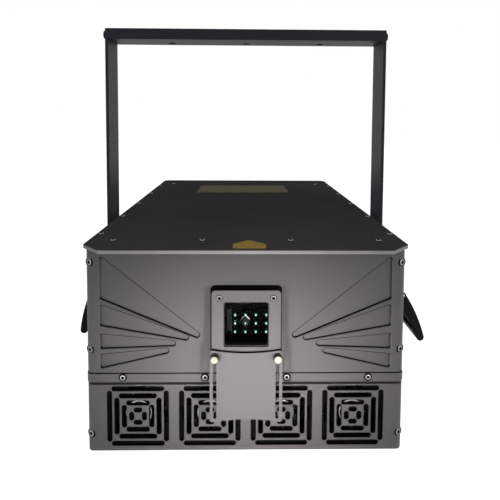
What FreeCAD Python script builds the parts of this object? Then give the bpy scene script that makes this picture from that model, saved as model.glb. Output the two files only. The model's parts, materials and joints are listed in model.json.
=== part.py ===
"""Laser show projector: a sheet-metal housing in a tilting yoke, with fans, optics and folding handles."""
import FreeCAD
import Part
import math
import os

V = FreeCAD.Vector
AXIS_X = V(1, 0, 0)
AXIS_Y = V(0, 1, 0)
AXIS_Z = V(0, 0, 1)

# Housing sizes, in millimetres
body_width = 412.0
body_length = 622.0
body_height = 268.9
corner_round = 8.0
base_thickness = 3.0
sheet = 2.5
flange_width = 16.0
lid_thickness = 5.0
lid_overhang = 1.5
lid_visor = 27.0
lid_corner = 26.3
lid_rear_chamfer = 8.0
foot_height = 10.0
foot_radius = 16.0
foot_taper = 0.85
foot_inset = 45.0

# Front and fan panels
panel_thickness = 5.0
wing_depth = 16.0
step_gap = 3.8
strip_height = 11.2
strip_proud = 0.8
groove_width = 1.3
groove_depth = 2.0
fin_depth = 3.6
fin_tip_radius = 3.5
fin_corner_radius = 2.5
fin_edge_margin = 18.2

# Each fin, as shares of the front panel: outer edge heights, tip distance from the middle, tip height
fins = [
    (0.942, 0.626, 0.310, 0.352),
    (0.580, 0.424, 0.379, 0.333),
    (0.359, 0.251, 0.461, 0.289),
    (0.204, 0.102, 0.503, 0.233),
]

# Fans and their grilles
fan_margin = 38.4
fan_gap = 13.4
fan_headroom = 5.8
fan_depth = 25.0
fan_wall = 2.0
fan_corner_radius = 4.0
fan_floor_gap = 3.7
fan_hole_inset = 8.5
blade_count = 7
blade_clearance = 1.2
blade_thickness = 1.6
blade_root_bite = 3.0
blade_root_angle = 52.0
blade_tip_angle = 34.0
blade_root_chord = 0.75
blade_tip_chord = 1.2
hub_radius = 17.0
strut_width = 5.0
strut_depth = 4.0
strut_bite = 1.0
rotor_gap = 1.5
fan_shaft_radius = 2.0
grille_rings = 4
grille_first_share = 0.103
grille_pitch_share = 0.1188
slot_share = 0.0731

# Window bezel, glass and shutter
bezel_width = 86.6
bezel_height = 95.0
bezel_depth = 19.0
bezel_corner_radius = 4.7
window_width = 56.9
window_height = 57.4
window_corner_radius = 3.1
window_share = 0.478
bezel_top_margin = 43.4
glass_margin = 4.0
glass_thickness = 3.0
gasket_thickness = 1.0
shutter_width = 90.7
shutter_height = 93.9
shutter_thickness = 2.0
shutter_sagitta = 4.2
shutter_corner_radius = 3.5
shutter_slot_width = 4.5
shutter_slot_margin = 5.4
thumb_spacing = 78.4
thumb_radius = 5.0
thumb_length = 8.0
thumb_chamfer = 0.8
thumb_shank_radius = 1.9
thumb_below_window = 38.6
thumb_below_shutter_top = 9.1
spacer_thickness = 2.8
spacer_radius = 4.4
slide_gap = 0.2

# Fasteners
screw_radius = 1.5
screw_head_radius = 3.75
screw_head_height = 2.2
screw_head_taper = 0.62
screw_length = 9.0
hole_clearance = 0.1
strip_screw_height = 6.3
strip_screw_margin = 93.6
corner_seat_depth = 1.1
corner_seat_radius = 4.2
corner_screw_drop = 18.9
corner_screw_rise = 20.0
corner_screw_middle = 42.9
corner_screw_angle = 27.0
lid_front_row = 16.0
lid_rear_row = 76.0
lid_row_margin = 64.0
lid_side_inset = 6.0
lid_side_first = 50.0
lid_side_last = 108.0
lid_side_count = 5
bezel_screw_inset = 9.5

# Rails and posts
rail_depth = 12.0
lid_rail_depth = 10.0
rail_height = 18.5
post_side = 14.0

# Yoke
yoke_side_gap = 26.0
arm_width = 60.0
arm_thickness = 5.0
bar_height = 18.0
bar_wall = 2.5
bar_end_wall = 8.0
clamp_hole_radius = 6.5
clamp_hole_pitch = 131.0
clamp_hole_setback = 42.0
swing_clearance = 12.8
pivot_setback_share = 0.376
pivot_height_share = 0.5207
pivot_stud_radius = 6.0
pivot_boss_radius = 20.0
washer_thickness = 2.0
washer_gap = 0.1
running_clearance = 0.05
knob_radius = 23.0
knob_length = 22.0
knob_lobes = 6
knob_lobe_radius = 7.0
knob_gap = 0.2
knob_wall = 5.0
stud_end_gap = 1.0
yoke_bolt_radius = 4.0
yoke_bolt_head_radius = 7.8
yoke_bolt_head_height = 6.0
yoke_bolt_head_taper = 0.6
yoke_bolt_spacing = 30.0

# Folding handles
handle_right_setback = 28.0
handle_left_setback = 58.0
handle_length = 100.0
handle_pivot_drop = 71.0
handle_plate = 2.0
handle_plate_drop = 78.0
handle_plate_rise = 18.0
handle_lug_width = 5.0
handle_eye_radius = 3.6
handle_pin_radius = 1.6
handle_seat_gap = 0.3
handle_side_gap = 0.3
handle_reach = 70.5
handle_tip_drop = 66.0
handle_tip_out = 2.6
handle_tip_in = -7.4
handle_bow_drop = 40.0
handle_bow = 5.6
handle_belly_drop = 28.0
handle_belly = -8.2
handle_notch_drop = 47.0
handle_notch = -5.6
handle_lip_drop = 50.0
handle_lip = -8.4
handle_leg_width = 14.0
handle_window_start = 12.0
handle_window_end = 46.0
handle_screw_margin = 3.0
handle_left_angle = 17.0
handle_right_angle = 25.4

# Inner pieces
plate_thickness = 6.0
plate_length_share = 0.61
plate_side_gap = 18.0
plate_front_gap = 3.0
sink_base = 8.0
sink_fin = 2.0
sink_margin = 100.0
sink_fin_count = 23
sink_length_share = 0.48
sink_fan_gap = 20.0
bank_setback = 67.0
bank_offset = 7.1
bank_columns = 4
bank_rows = 3
bank_pitch_x = 14.9
bank_pitch_z = 12.4
bank_margin = 12.0
bank_depth = 60.0
bank_lens_rise = 27.3
lens_radius = 1.8
lens_length = 3.0
laser_width = 80.0
laser_height = 58.0
laser_length = 140.0
laser_setback = 150.0
laser_offset_share = 0.27
laser_nose_radius = 9.0
laser_nose_length = 18.0
laser_fin_count = 8
laser_fin_depth = 8.0
mirror_setback = 48.0
mirror_size = 22.0
mirror_glass = 3.0
mirror_angle = 45.0
mount_width = 30.0
mount_foot = 8.0
galvo_setback = 45.0
galvo_rise = 39.8
galvo_mirror_width = 11.0
galvo_mirror_height = 17.0
galvo_mirror_glass = 1.2
galvo_waist_share = 0.1
galvo_tip_share = 0.16
galvo_shaft_radius = 1.5
galvo_motor_radius = 8.0
galvo_motor_length = 20.0
galvo_post_width = 7.5
galvo_post_depth = 18.0
galvo_reach = 19.5
galvo_arm_rise = 27.0
galvo_arm_height = 10.0
galvo_upper_rise = 18.0
galvo_upper_height = 12.0
galvo_tilt = 20.0
galvo_shaft_bite = 1.0
supply_width = 115.0
supply_length_share = 0.32
supply_height = 50.0
supply_offset_share = 0.27
supply_rear_gap = 30.0
supply_shelf_share = 0.1
supply_shelf_rise = 0.45
board_width = 130.0
board_length = 160.0
board_thickness = 1.6
board_standoff = 6.0
board_offset_share = 0.245
board_rear_gap = 40.0
chip_size = 40.0
chip_height = 6.0
chip_inset = 20.0
relay_length = 25.0
relay_height = 18.0
capacitor_radius = 6.0
capacitor_height = 20.0
capacitor_pitch = 18.0
capacitor_count = 3

# Rear panel fittings
inlet_width = 48.0
inlet_height = 28.0
inlet_depth = 22.0
inlet_cavity_width = 25.0
inlet_cavity_height = 17.0
inlet_cavity_depth = 16.0
inlet_flange = 4.0
inlet_proud = 2.5
inlet_edge = 64.0
inlet_z = 40.0
rocker_width = 14.0
rocker_height = 22.0
rocker_depth = 8.0
rocker_seat_share = 0.3
rocker_proud = 2.5
rocker_gap = 0.4
rocker_pitch = 48.0
key_edge = 64.0
key_height_share = 0.59
key_radius = 9.0
key_body = 14.0
key_proud = 5.0
key_bow = 15.0
key_blade = 2.0
key_width = 22.0
key_ring_share = 0.16
key_ring_place = 0.62
xlr_radius = 11.0
xlr_bore_radius = 8.4
xlr_flange_width = 26.0
xlr_flange_height = 31.0
xlr_depth = 20.0
xlr_bore_depth = 14.0
xlr_corner_radius = 2.0
xlr_pitch = 40.0
xlr_share = 0.147
dsub_width = 53.0
dsub_height = 12.5
dsub_corner_radius = 1.5
dsub_shell_width = 39.0
dsub_shell_height = 8.4
dsub_proud = 5.5
dsub_depth = 10.0
dsub_x = 0.0
vent_count = 16
vent_pitch = 16.0
vent_width = 6.0
vent_height_share = 0.23
vent_z_share = 0.76

# Derived sizes and places
half_width = body_width / 2
fan_pitch = (body_width - fan_margin) / 4
fan_size = fan_pitch - fan_gap
fan_bore_radius = fan_size / 2 - fan_wall
fan_hole_spacing = fan_size - fan_hole_inset
fan_panel_height = fan_size + fan_headroom
front_reach = bezel_depth + spacer_thickness + slide_gap + shutter_thickness + slide_gap + thumb_length
rear_reach = key_proud + key_bow
y_front = (front_reach - body_length - rear_reach) / 2
y_rear = y_front + body_length
z_base = foot_height
z_floor = z_base + base_thickness
z_top = z_base + body_height
z_lid = z_top + lid_thickness
z_fan_top = z_floor + fan_panel_height
z_panel = z_fan_top + step_gap
panel_rise = z_top - z_panel
y_inner = y_front + panel_thickness
y_wing = y_front + wing_depth
post_chamfer = corner_round - panel_thickness
z_fan = z_floor + fan_floor_gap + fan_size / 2
z_window = z_panel + window_share * panel_rise
z_plate = z_fan_top + rail_height
z_plate_top = z_plate + plate_thickness
z_galvo = z_plate_top + galvo_rise
z_lens = z_plate_top + bank_lens_rise
laser_offset = body_width * laser_offset_share
z_thumb = z_window - thumb_below_window
y_bezel = y_front - bezel_depth
y_spacer = y_bezel - spacer_thickness
y_shutter = y_spacer - slide_gap
y_shutter_front = y_shutter - shutter_thickness
y_pivot = y_front + body_length * pivot_setback_share
z_pivot = z_base + body_height * pivot_height_share
arm_inner = half_width + yoke_side_gap
arm_outer = arm_inner + arm_thickness
rear_swing = y_rear + lid_overhang - y_pivot
bar_radius = math.hypot(rear_swing, max(z_lid - z_pivot, z_pivot - z_base)) + swing_clearance
z_bar = z_pivot + bar_radius
fan_places = [(index - 1.5) * fan_pitch for index in range(4)]
hinge_x = half_width + handle_plate + handle_seat_gap + handle_eye_radius
y_handle_right = y_front + handle_right_setback
y_handle_left = y_front + handle_left_setback
z_hinge = z_top - handle_pivot_drop
inlet_x = inlet_edge - half_width
rocker_x = inlet_x + rocker_pitch
z_inlet = z_base + inlet_z
key_x = half_width - key_edge
z_key = z_base + body_height * key_height_share
xlr_x = body_width * xlr_share


def box(x0, x1, y0, y1, z0, z1):
    """Block between two corners."""
    return Part.makeBox(x1 - x0, y1 - y0, z1 - z0, V(x0, y0, z0))


def cylinder(radius, length, start, axis):
    """Round bar from a start point along an axis."""
    return Part.makeCylinder(radius, length, start, axis)


def prism(points, z0, z1):
    """Plan outline, given as (x, y) points, raised from z0 to z1."""
    corners = [V(x, y, z0) for x, y in points]
    face = Part.Face(Part.makePolygon(corners + corners[:1]))
    return face.extrude(V(0, 0, z1 - z0))


def fuse(shapes):
    """One clean solid from several that touch or overlap."""
    whole = shapes[0].fuse(shapes[1:]) if len(shapes) > 1 else shapes[0]
    return whole.removeSplitter()


def mirrored(shape):
    """The same shape on the other side of the middle plane."""
    return shape.mirror(V(0, 0, 0), AXIS_X)


def pair(shape):
    """A shape and its mirror image as separate solids."""
    return Part.makeCompound([shape, mirrored(shape)])


def rounded_rectangle(width, height, radius, x, y, z, depth):
    """Upright rounded plate centred on (x, z), from y backwards by depth."""
    block = box(x - width / 2, x + width / 2, y, y + depth, z - height / 2, z + height / 2)
    edges = [e for e in block.Edges if abs(e.tangentAt(e.FirstParameter).y) > 0.9]
    return block.makeFillet(radius, edges)


def slot(length, width, x, y, z, depth, upright):
    """Round-ended slot through the Y direction, centred on (x, z)."""
    reach = (length - width) / 2
    radius = width / 2
    if upright:
        ends = [V(x, y, z - reach), V(x, y, z + reach)]
        middle = box(x - radius, x + radius, y, y + depth, z - reach, z + reach)
    else:
        ends = [V(x - reach, y, z), V(x + reach, y, z)]
        middle = box(x - reach, x + reach, y, y + depth, z - radius, z + radius)
    return fuse([middle] + [cylinder(radius, depth, end, AXIS_Y) for end in ends])


def lid_outline():
    """Plan outline of the lid: a visor with cut corners at the front, and small cut corners at the rear."""
    half = half_width + lid_overhang
    front = y_front - lid_visor
    rear = y_rear + lid_overhang
    right = [
        (half - lid_corner, front),
        (half, front + lid_corner),
        (half, rear - lid_rear_chamfer),
        (half - lid_rear_chamfer, rear),
    ]
    return right + [(-x, y) for x, y in reversed(right)]


def rounded_front(inset, y1, z0, z1):
    """Block behind the front face with both upright front edges rounded, inset evenly."""
    half = half_width - inset
    block = box(-half, half, y_front + inset, y1, z0, z1)
    front = y_front + inset + corner_round
    edges = [e for e in block.Edges if abs(e.tangentAt(e.FirstParameter).z) > 0.9 and e.CenterOfMass.y < front]
    return block.makeFillet(corner_round - inset, edges)


def front_sheet(proud, z0, z1):
    """Front sheet that is bent back round both corners, standing proud evenly."""
    outer = rounded_front(-proud, y_wing, z0, z1)
    return outer.cut(rounded_front(panel_thickness, y_wing, z0, z1))


def button_screw(place, direction, length=screw_length):
    """Round-head screw: the head stands out of the face at place, the shank goes in."""
    out = V(direction).normalize()
    head = Part.makeCone(screw_head_radius, screw_head_radius * screw_head_taper, screw_head_height, place, out)
    shank = cylinder(screw_radius, length, place - out * length, out)
    return fuse([head, shank])


def screw_hole(place, direction, length=screw_length):
    """Cutter for a screw's shank."""
    out = V(direction).normalize()
    radius = screw_radius + hole_clearance
    return cylinder(radius, length + 2 * hole_clearance, place - out * (length + hole_clearance), out)


def lid_screw_places():
    """Screws on the lid: a front row, a rear row and two side rows."""
    rows = []
    spacing = (body_width - lid_row_margin) / 3
    for y, columns in ((y_front + lid_front_row, (-1.5, -0.5, 0.5, 1.5)), (y_rear - lid_rear_row, (-1.5, 1.5))):
        rows += [V(column * spacing, y, z_lid) for column in columns]
    pitch = (body_length - lid_side_first - lid_side_last) / (lid_side_count - 1)
    for index in range(lid_side_count):
        y = y_front + lid_side_first + index * pitch
        rows += [V(side * (half_width - lid_side_inset), y, z_lid) for side in (-1, 1)]
    return rows


def strip_screw_places():
    """Screws along the strip at the front panel's lower edge."""
    z = z_panel + strip_screw_height
    spacing = (body_width - strip_screw_margin) / 3
    return [V((index - 1.5) * spacing, y_front - strip_proud, z) for index in range(4)]


def corner_screw_places():
    """Screws on the rounded corners, with the direction each one faces."""
    turn = math.radians(corner_screw_angle)
    heights = [z_top - corner_screw_drop, z_panel + corner_screw_middle, z_floor + corner_screw_rise]
    places = []
    for side in (-1, 1):
        facing = V(side * math.sin(turn), -math.cos(turn), 0)
        seat = facing * (corner_round - corner_seat_depth)
        middle = V(side * (half_width - corner_round), y_front + corner_round, 0)
        places += [(middle + seat + V(0, 0, z), facing) for z in heights]
    return places


def corner_screw_cuts():
    """Holes and flat seats for the corner screws."""
    cutters = []
    for place, facing in corner_screw_places():
        cutters.append(screw_hole(place, facing))
        cutters.append(cylinder(corner_seat_radius, corner_round, place, facing))
    return cutters


def bezel_screw_places():
    """Two screws in the bezel's upper corners."""
    x = bezel_width / 2 - bezel_screw_inset
    z = z_window + bezel_top_margin - bezel_screw_inset
    return [V(side * x, y_bezel, z) for side in (-1, 1)]


def base_plate():
    """Floor of the housing."""
    return rounded_front(0, y_rear, z_base, z_floor)


def top_lid():
    """Flat lid that overhangs the housing on every side, most of all at the front."""
    lid = prism(lid_outline(), z_top, z_lid)
    return lid.cut([screw_hole(place, AXIS_Z) for place in lid_screw_places()])


def lid_screws():
    """Button screws that hold the lid."""
    return Part.makeCompound([button_screw(place, AXIS_Z) for place in lid_screw_places()])


def fin_pocket(fin):
    """Tapered pocket on the left, between an outer edge and a round tip that the two sides touch."""
    high, low, tip_x, tip_height = fin
    outer_x = fin_edge_margin - half_width
    centre = V(-tip_x * half_width, y_front, z_panel + tip_height * panel_rise)
    corners = [V(outer_x, y_front, z_panel + share * panel_rise) for share in (high, low)]
    angles = []
    for corner, turn in zip(corners, (-1, 1)):
        offset = corner - centre
        bearing = math.atan2(offset.z, offset.x) % (2 * math.pi)
        angles.append(bearing + turn * math.acos(fin_tip_radius / offset.Length))
    angles[1] -= 2 * math.pi
    middle = (angles[0] + angles[1]) / 2
    on_tip = [centre + V(math.cos(a), 0, math.sin(a)) * fin_tip_radius for a in (angles[0], middle, angles[1])]
    edges = [
        Part.LineSegment(corners[0], on_tip[0]).toShape(),
        Part.Arc(*on_tip).toShape(),
        Part.LineSegment(on_tip[2], corners[1]).toShape(),
        Part.LineSegment(corners[1], corners[0]).toShape(),
    ]
    pocket = Part.Face(Part.Wire(edges)).extrude(V(0, fin_depth, 0))
    along = [e for e in pocket.Edges if abs(e.tangentAt(e.FirstParameter).y) > 0.9]
    outer_edges = [e for e in along if e.CenterOfMass.x < outer_x + fin_tip_radius]
    return pocket.makeFillet(fin_corner_radius, outer_edges)


def window_hole(grow, y, depth):
    """Rounded window opening, grown evenly."""
    width = window_width + 2 * grow
    height = window_height + 2 * grow
    return rounded_rectangle(width, height, window_corner_radius, 0, y, z_window, depth)


def front_panel():
    """Upper front sheet with rounded corners, a proud lower strip, fin pockets and the window opening."""
    z_strip = z_panel + strip_height
    panel = fuse([front_sheet(0, z_panel, z_top), front_sheet(strip_proud, z_panel, z_strip)])
    groove = front_sheet(strip_proud, z_strip, z_strip + groove_width)
    groove = groove.cut(rounded_front(groove_depth, y_wing, z_strip, z_strip + groove_width))
    cutters = [groove]
    for fin in fins:
        pocket = fin_pocket(fin)
        cutters += [pocket, mirrored(pocket)]
    cutters.append(window_hole(0, y_front, panel_thickness))
    cutters += [screw_hole(place, -AXIS_Y) for place in strip_screw_places()]
    cutters += corner_screw_cuts()
    cutters += [screw_hole(place, -AXIS_Y, bezel_screw_length()) for place in bezel_screw_places()]
    return panel.cut(cutters)


def grille_slots(x):
    """Concentric square rings of round-ended slots in front of one fan."""
    slots = []
    slot_width = fan_size * slot_share
    for ring in range(grille_rings):
        reach = fan_size * (grille_first_share + ring * grille_pitch_share)
        length = 2 * reach - slot_width
        for side in (-1, 1):
            slots.append(slot(length, slot_width, x, y_front, z_fan + side * reach, panel_thickness, False))
            slots.append(slot(length, slot_width, x + side * reach, y_front, z_fan, panel_thickness, True))
    return slots


def fan_panel():
    """Lower front sheet with a slotted grille for each fan."""
    panel = front_sheet(0, z_floor, z_fan_top)
    cutters = corner_screw_cuts()
    for x in fan_places:
        cutters += grille_slots(x)
    return panel.cut(cutters)


def side_panel(y_handle):
    """Right side sheet with a flange under the lid, and holes for the lid's and the handle's screws."""
    y0 = y_wing
    y1 = y_rear - sheet
    wall = box(half_width - sheet, half_width, y0, y1, z_floor, z_top)
    flange = box(half_width - flange_width, half_width, y0, y1, z_top - sheet, z_top)
    holes = [screw_hole(place, AXIS_Z) for place in lid_screw_places() if place.x > 0]
    holes += [screw_hole(place, AXIS_X, handle_screw_length()) for place in handle_screw_places(y_handle)]
    return fuse([wall, flange]).cut(holes)


def inlet_rectangle(grow, y, depth):
    """Block over the power inlet and its switch, grown evenly."""
    x1 = rocker_x + rocker_width / 2 + inlet_flange
    return box(inlet_x - inlet_width / 2 - grow, x1 + grow, y, y + depth,
               z_inlet - inlet_height / 2 - grow, z_inlet + inlet_height / 2 + grow)


def xlr_places():
    """Middles of the two round signal sockets."""
    return [(xlr_x + index * xlr_pitch, z_inlet) for index in range(2)]


def rear_panel():
    """Rear sheet with cut-outs for the inlet, the sockets and the key switch, and a row of vent slots."""
    panel = box(-half_width, half_width, y_rear - sheet, y_rear, z_floor, z_top)
    y = y_rear - sheet
    cutters = [inlet_rectangle(hole_clearance, y, sheet)]
    cutters.append(cylinder(key_radius + hole_clearance, sheet, V(key_x, y, z_key), AXIS_Y))
    for x, z in xlr_places():
        cutters.append(cylinder(xlr_radius + hole_clearance, sheet, V(x, y, z), AXIS_Y))
    half = dsub_shell_width / 2 + hole_clearance
    rise = dsub_shell_height / 2 + hole_clearance
    cutters.append(box(dsub_x - half, dsub_x + half, y, y + sheet, z_inlet - rise, z_inlet + rise))
    z_vent = z_base + body_height * vent_z_share
    for index in range(vent_count):
        x = (index - (vent_count - 1) / 2) * vent_pitch
        cutters.append(slot(body_height * vent_height_share, vent_width, x, y, z_vent, sheet, True))
    return panel.cut(cutters)


def cross_rails():
    """Bars across the housing: one behind the front step, and two under the lid."""
    half = half_width - panel_thickness - post_side
    middle = box(-half, half, y_inner, y_inner + rail_depth, z_fan_top, z_fan_top + rail_height)
    middle = middle.cut([screw_hole(place, -AXIS_Y) for place in strip_screw_places()])
    rails = [middle]
    inner = half_width - panel_thickness
    for y in (y_front + lid_front_row, y_rear - lid_rear_row):
        half = lid_rail_depth / 2
        rail = box(-inner, inner, y - half, y + half, z_top - sheet - lid_rail_depth, z_top)
        flange = box(half_width - flange_width, inner, y - half, y + half, z_top - sheet, z_top)
        rail = rail.cut([flange, mirrored(flange)])
        holes = [screw_hole(place, AXIS_Z) for place in lid_screw_places() if abs(place.y - y) < half]
        rails.append(rail.cut(holes))
    return Part.makeCompound(rails)


def corner_posts():
    """Upright bars in the front corners, under the lid's front rail, which the corner screws go into."""
    x1 = half_width - panel_thickness
    x0 = x1 - post_side
    y1 = y_inner + post_side
    outline = [(x0, y_inner), (x1 - post_chamfer, y_inner), (x1, y_inner + post_chamfer), (x1, y1), (x0, y1)]
    post = prism(outline, z_floor, z_top - sheet - lid_rail_depth)
    post = post.cut([screw_hole(place, facing) for place, facing in corner_screw_places() if place.x > 0])
    return pair(post)


def panel_screws():
    """Button screws of the front strip and the rounded corners."""
    screws = [button_screw(place, -AXIS_Y) for place in strip_screw_places()]
    screws += [button_screw(place, facing) for place, facing in corner_screw_places()]
    return Part.makeCompound(screws)


def rubber_feet():
    """Four round feet under the base plate."""
    feet = []
    for side in (-1, 1):
        for y in (y_front + foot_inset, y_rear - foot_inset):
            place = V(side * (half_width - foot_inset), y, 0)
            feet.append(Part.makeCone(foot_radius * foot_taper, foot_radius, foot_height, place, AXIS_Z))
    return Part.makeCompound(feet)


def bezel_screw_length():
    """Length that reaches from the bezel's face through the front panel."""
    return bezel_depth + panel_thickness


def thumb_places():
    """Thumbscrew axes on the bezel's front face."""
    return [V(side * thumb_spacing / 2, y_bezel, z_thumb) for side in (-1, 1)]


def thumb_hole(place):
    """Hole in the bezel for a thumbscrew's shank."""
    return cylinder(thumb_shank_radius + running_clearance, bezel_depth, place, AXIS_Y)


def window_bezel():
    """Raised frame round the window, rebated at the back for the glass and its gasket."""
    top = z_window + bezel_top_margin
    z = top - bezel_height / 2
    frame = rounded_rectangle(bezel_width, bezel_height, bezel_corner_radius, 0, y_bezel, z, bezel_depth)
    rebate = glass_thickness + gasket_thickness
    cutters = [window_hole(0, y_bezel, bezel_depth)]
    cutters.append(window_hole(glass_margin + hole_clearance, y_front - rebate, rebate))
    cutters += [screw_hole(place, -AXIS_Y, bezel_screw_length()) for place in bezel_screw_places()]
    cutters += [thumb_hole(place) for place in thumb_places()]
    return frame.cut(cutters)


def bezel_screws():
    """Long screws that hold the bezel to the front panel."""
    length = bezel_screw_length()
    return Part.makeCompound([button_screw(place, -AXIS_Y, length) for place in bezel_screw_places()])


def window_glass():
    """Clear pane in the bezel's rebate."""
    return window_hole(glass_margin, y_front - gasket_thickness - glass_thickness, glass_thickness)


def window_gasket():
    """Thin seal between the pane and the front panel."""
    ring = window_hole(glass_margin, y_front - gasket_thickness, gasket_thickness)
    return ring.cut(window_hole(0, y_front - gasket_thickness, gasket_thickness))


def shutter_plate():
    """Sliding beam shutter with hollowed top and bottom edges and two guide slots."""
    top = z_thumb + thumb_below_shutter_top
    bottom = top - shutter_height
    half = shutter_width / 2
    y = y_shutter_front
    corners = [V(-half, y, bottom), V(-half, y, top), V(half, y, top), V(half, y, bottom)]
    edges = [
        Part.LineSegment(corners[0], corners[1]).toShape(),
        Part.Arc(corners[1], V(0, y, top - shutter_sagitta), corners[2]).toShape(),
        Part.LineSegment(corners[2], corners[3]).toShape(),
        Part.Arc(corners[3], V(0, y, bottom + shutter_sagitta), corners[0]).toShape(),
    ]
    plate = Part.Face(Part.Wire(edges)).extrude(V(0, shutter_thickness, 0))
    along = [e for e in plate.Edges if abs(e.tangentAt(e.FirstParameter).y) > 0.9]
    plate = plate.makeFillet(shutter_corner_radius, along)
    low = bottom + shutter_slot_margin
    high = z_thumb + shutter_slot_width / 2
    cutters = []
    for place in thumb_places():
        middle = (high + low) / 2
        cutters.append(slot(high - low, shutter_slot_width, place.x, y, middle, shutter_thickness, True))
    return plate.cut(cutters)


def shutter_spacers():
    """Rings that hold the shutter off the bezel's screw heads."""
    rings = []
    for place in thumb_places():
        start = V(place.x, y_spacer, place.z)
        ring = cylinder(spacer_radius, spacer_thickness, start, AXIS_Y)
        bore = cylinder(thumb_shank_radius + hole_clearance, spacer_thickness, start, AXIS_Y)
        rings.append(ring.cut(bore))
    return Part.makeCompound(rings)


def thumbscrew(place):
    """Knurled-head screw that clamps the shutter."""
    y_head = y_shutter_front - slide_gap
    head = cylinder(thumb_radius, thumb_length, V(place.x, y_head - thumb_length, place.z), AXIS_Y)
    head = head.makeChamfer(thumb_chamfer, head.Edges)
    shank_end = y_front - gasket_thickness - glass_thickness
    shank = cylinder(thumb_shank_radius, shank_end - y_head, V(place.x, y_head, place.z), AXIS_Y)
    return fuse([head, shank])


def fan_holes(x, radius, y, depth):
    """Corner cylinders of one fan."""
    half = fan_hole_spacing / 2
    places = [V(x + a * half, y, z_fan + b * half) for a in (-1, 1) for b in (-1, 1)]
    return [cylinder(radius, depth, place, AXIS_Y) for place in places]


def fan_frame(x):
    """Square fan housing with a round duct, and a motor seat on four struts at the back."""
    frame = rounded_rectangle(fan_size, fan_size, fan_corner_radius, x, y_inner, z_fan, fan_depth)
    duct = cylinder(fan_bore_radius, fan_depth, V(x, y_inner, z_fan), AXIS_Y)
    frame = frame.cut([duct] + fan_holes(x, screw_radius + hole_clearance, y_inner, fan_depth))
    y_strut = y_inner + fan_depth - strut_depth
    half = strut_width / 2
    seat = cylinder(hub_radius, strut_depth, V(x, y_strut, z_fan), AXIS_Y)
    reach = fan_bore_radius + strut_bite
    level = box(x - reach, x + reach, y_strut, y_strut + strut_depth, z_fan - half, z_fan + half)
    upright = box(x - half, x + half, y_strut, y_strut + strut_depth, z_fan - reach, z_fan + reach)
    bore = cylinder(fan_shaft_radius + running_clearance, strut_depth, V(x, y_strut, z_fan), AXIS_Y)
    return fuse([frame, seat, level, upright]).cut(bore)


def blade_section(radius, chord, angle):
    """Tilted rectangle that is one blade's section at a radius."""
    across = V(math.cos(angle), math.sin(angle), 0) * (chord / 2)
    thick = V(-math.sin(angle), math.cos(angle), 0) * (blade_thickness / 2)
    corners = [across + thick, thick - across, V(0, 0, 0) - across - thick, across - thick]
    points = [corner + V(0, 0, radius) for corner in corners]
    return Part.makePolygon(points + points[:1])


def fan_rotor(x):
    """Hub cup with twisted blades and a short shaft."""
    depth = fan_depth - strut_depth - 2 * rotor_gap
    y0 = y_inner + rotor_gap
    hub = cylinder(hub_radius, depth, V(0, 0, 0), AXIS_Y)
    shaft = cylinder(fan_shaft_radius, depth + rotor_gap + strut_depth, V(0, 0, 0), AXIS_Y)
    tip = fan_bore_radius - blade_clearance
    blade = Part.makeLoft([
        blade_section(hub_radius - blade_root_bite, depth * blade_root_chord, math.radians(blade_root_angle)),
        blade_section(tip, depth * blade_tip_chord, math.radians(blade_tip_angle)),
    ], True, True)
    blade.translate(V(0, depth / 2, 0))
    swept = cylinder(tip, depth, V(0, 0, 0), AXIS_Y)
    blade = blade.common(swept)
    blades = []
    for index in range(blade_count):
        copy = blade.copy()
        copy.rotate(V(0, 0, 0), AXIS_Y, index * 360 / blade_count)
        blades.append(copy)
    rotor = fuse([hub, shaft] + blades)
    rotor.translate(V(x, y0, z_fan))
    return rotor


def fan_screws():
    """Screws through the fan corners, with heads at the back."""
    screws = []
    y_back = y_inner + fan_depth
    for x in fan_places:
        half = fan_hole_spacing / 2
        for a in (-1, 1):
            for b in (-1, 1):
                screws.append(button_screw(V(x + a * half, y_back, z_fan + b * half), AXIS_Y, fan_depth))
    return Part.makeCompound(screws)


def handle_base(y_handle):
    """Right handle's wall plate with two hinge lugs."""
    y0 = y_handle - handle_lug_width - handle_side_gap
    y1 = y_handle + handle_length + handle_lug_width + handle_side_gap
    low = z_hinge - handle_plate_drop
    pieces = [box(half_width, half_width + handle_plate, y0, y1, low, z_hinge + handle_plate_rise)]
    for y in (y0, y1 - handle_lug_width):
        pieces.append(box(half_width, hinge_x, y, y + handle_lug_width,
                          z_hinge - handle_eye_radius, z_hinge + handle_eye_radius))
        pieces.append(cylinder(handle_eye_radius, handle_lug_width, V(hinge_x, y, z_hinge), AXIS_Y))
    bore = cylinder(handle_pin_radius + running_clearance, y1 - y0, V(hinge_x, y0, z_hinge), AXIS_Y)
    holes = [screw_hole(place, AXIS_X, handle_screw_length()) for place in handle_screw_places(y_handle)]
    return fuse(pieces).cut([bore] + holes)


def handle_screw_length():
    """Length that reaches through the handle plate and the side sheet."""
    return handle_plate + sheet


def handle_screw_places(y_handle):
    """Screws in the right handle plate's corners."""
    inset = screw_head_radius + handle_screw_margin
    y0 = y_handle + inset
    y1 = y_handle + handle_length - inset
    heights = (z_hinge + handle_plate_rise - inset, z_hinge - handle_plate_drop + inset)
    return [V(half_width + handle_plate, y, z) for y in (y0, y1) for z in heights]


def handle_pins():
    """Hinge pins of both handles."""
    ends = handle_lug_width + handle_side_gap
    pins = []
    for y, x in ((y_handle_right, hinge_x), (y_handle_left, -hinge_x)):
        pins.append(cylinder(handle_pin_radius, handle_length + 2 * ends, V(x, y - ends, z_hinge), AXIS_Y))
    return Part.makeCompound(pins)


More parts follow.
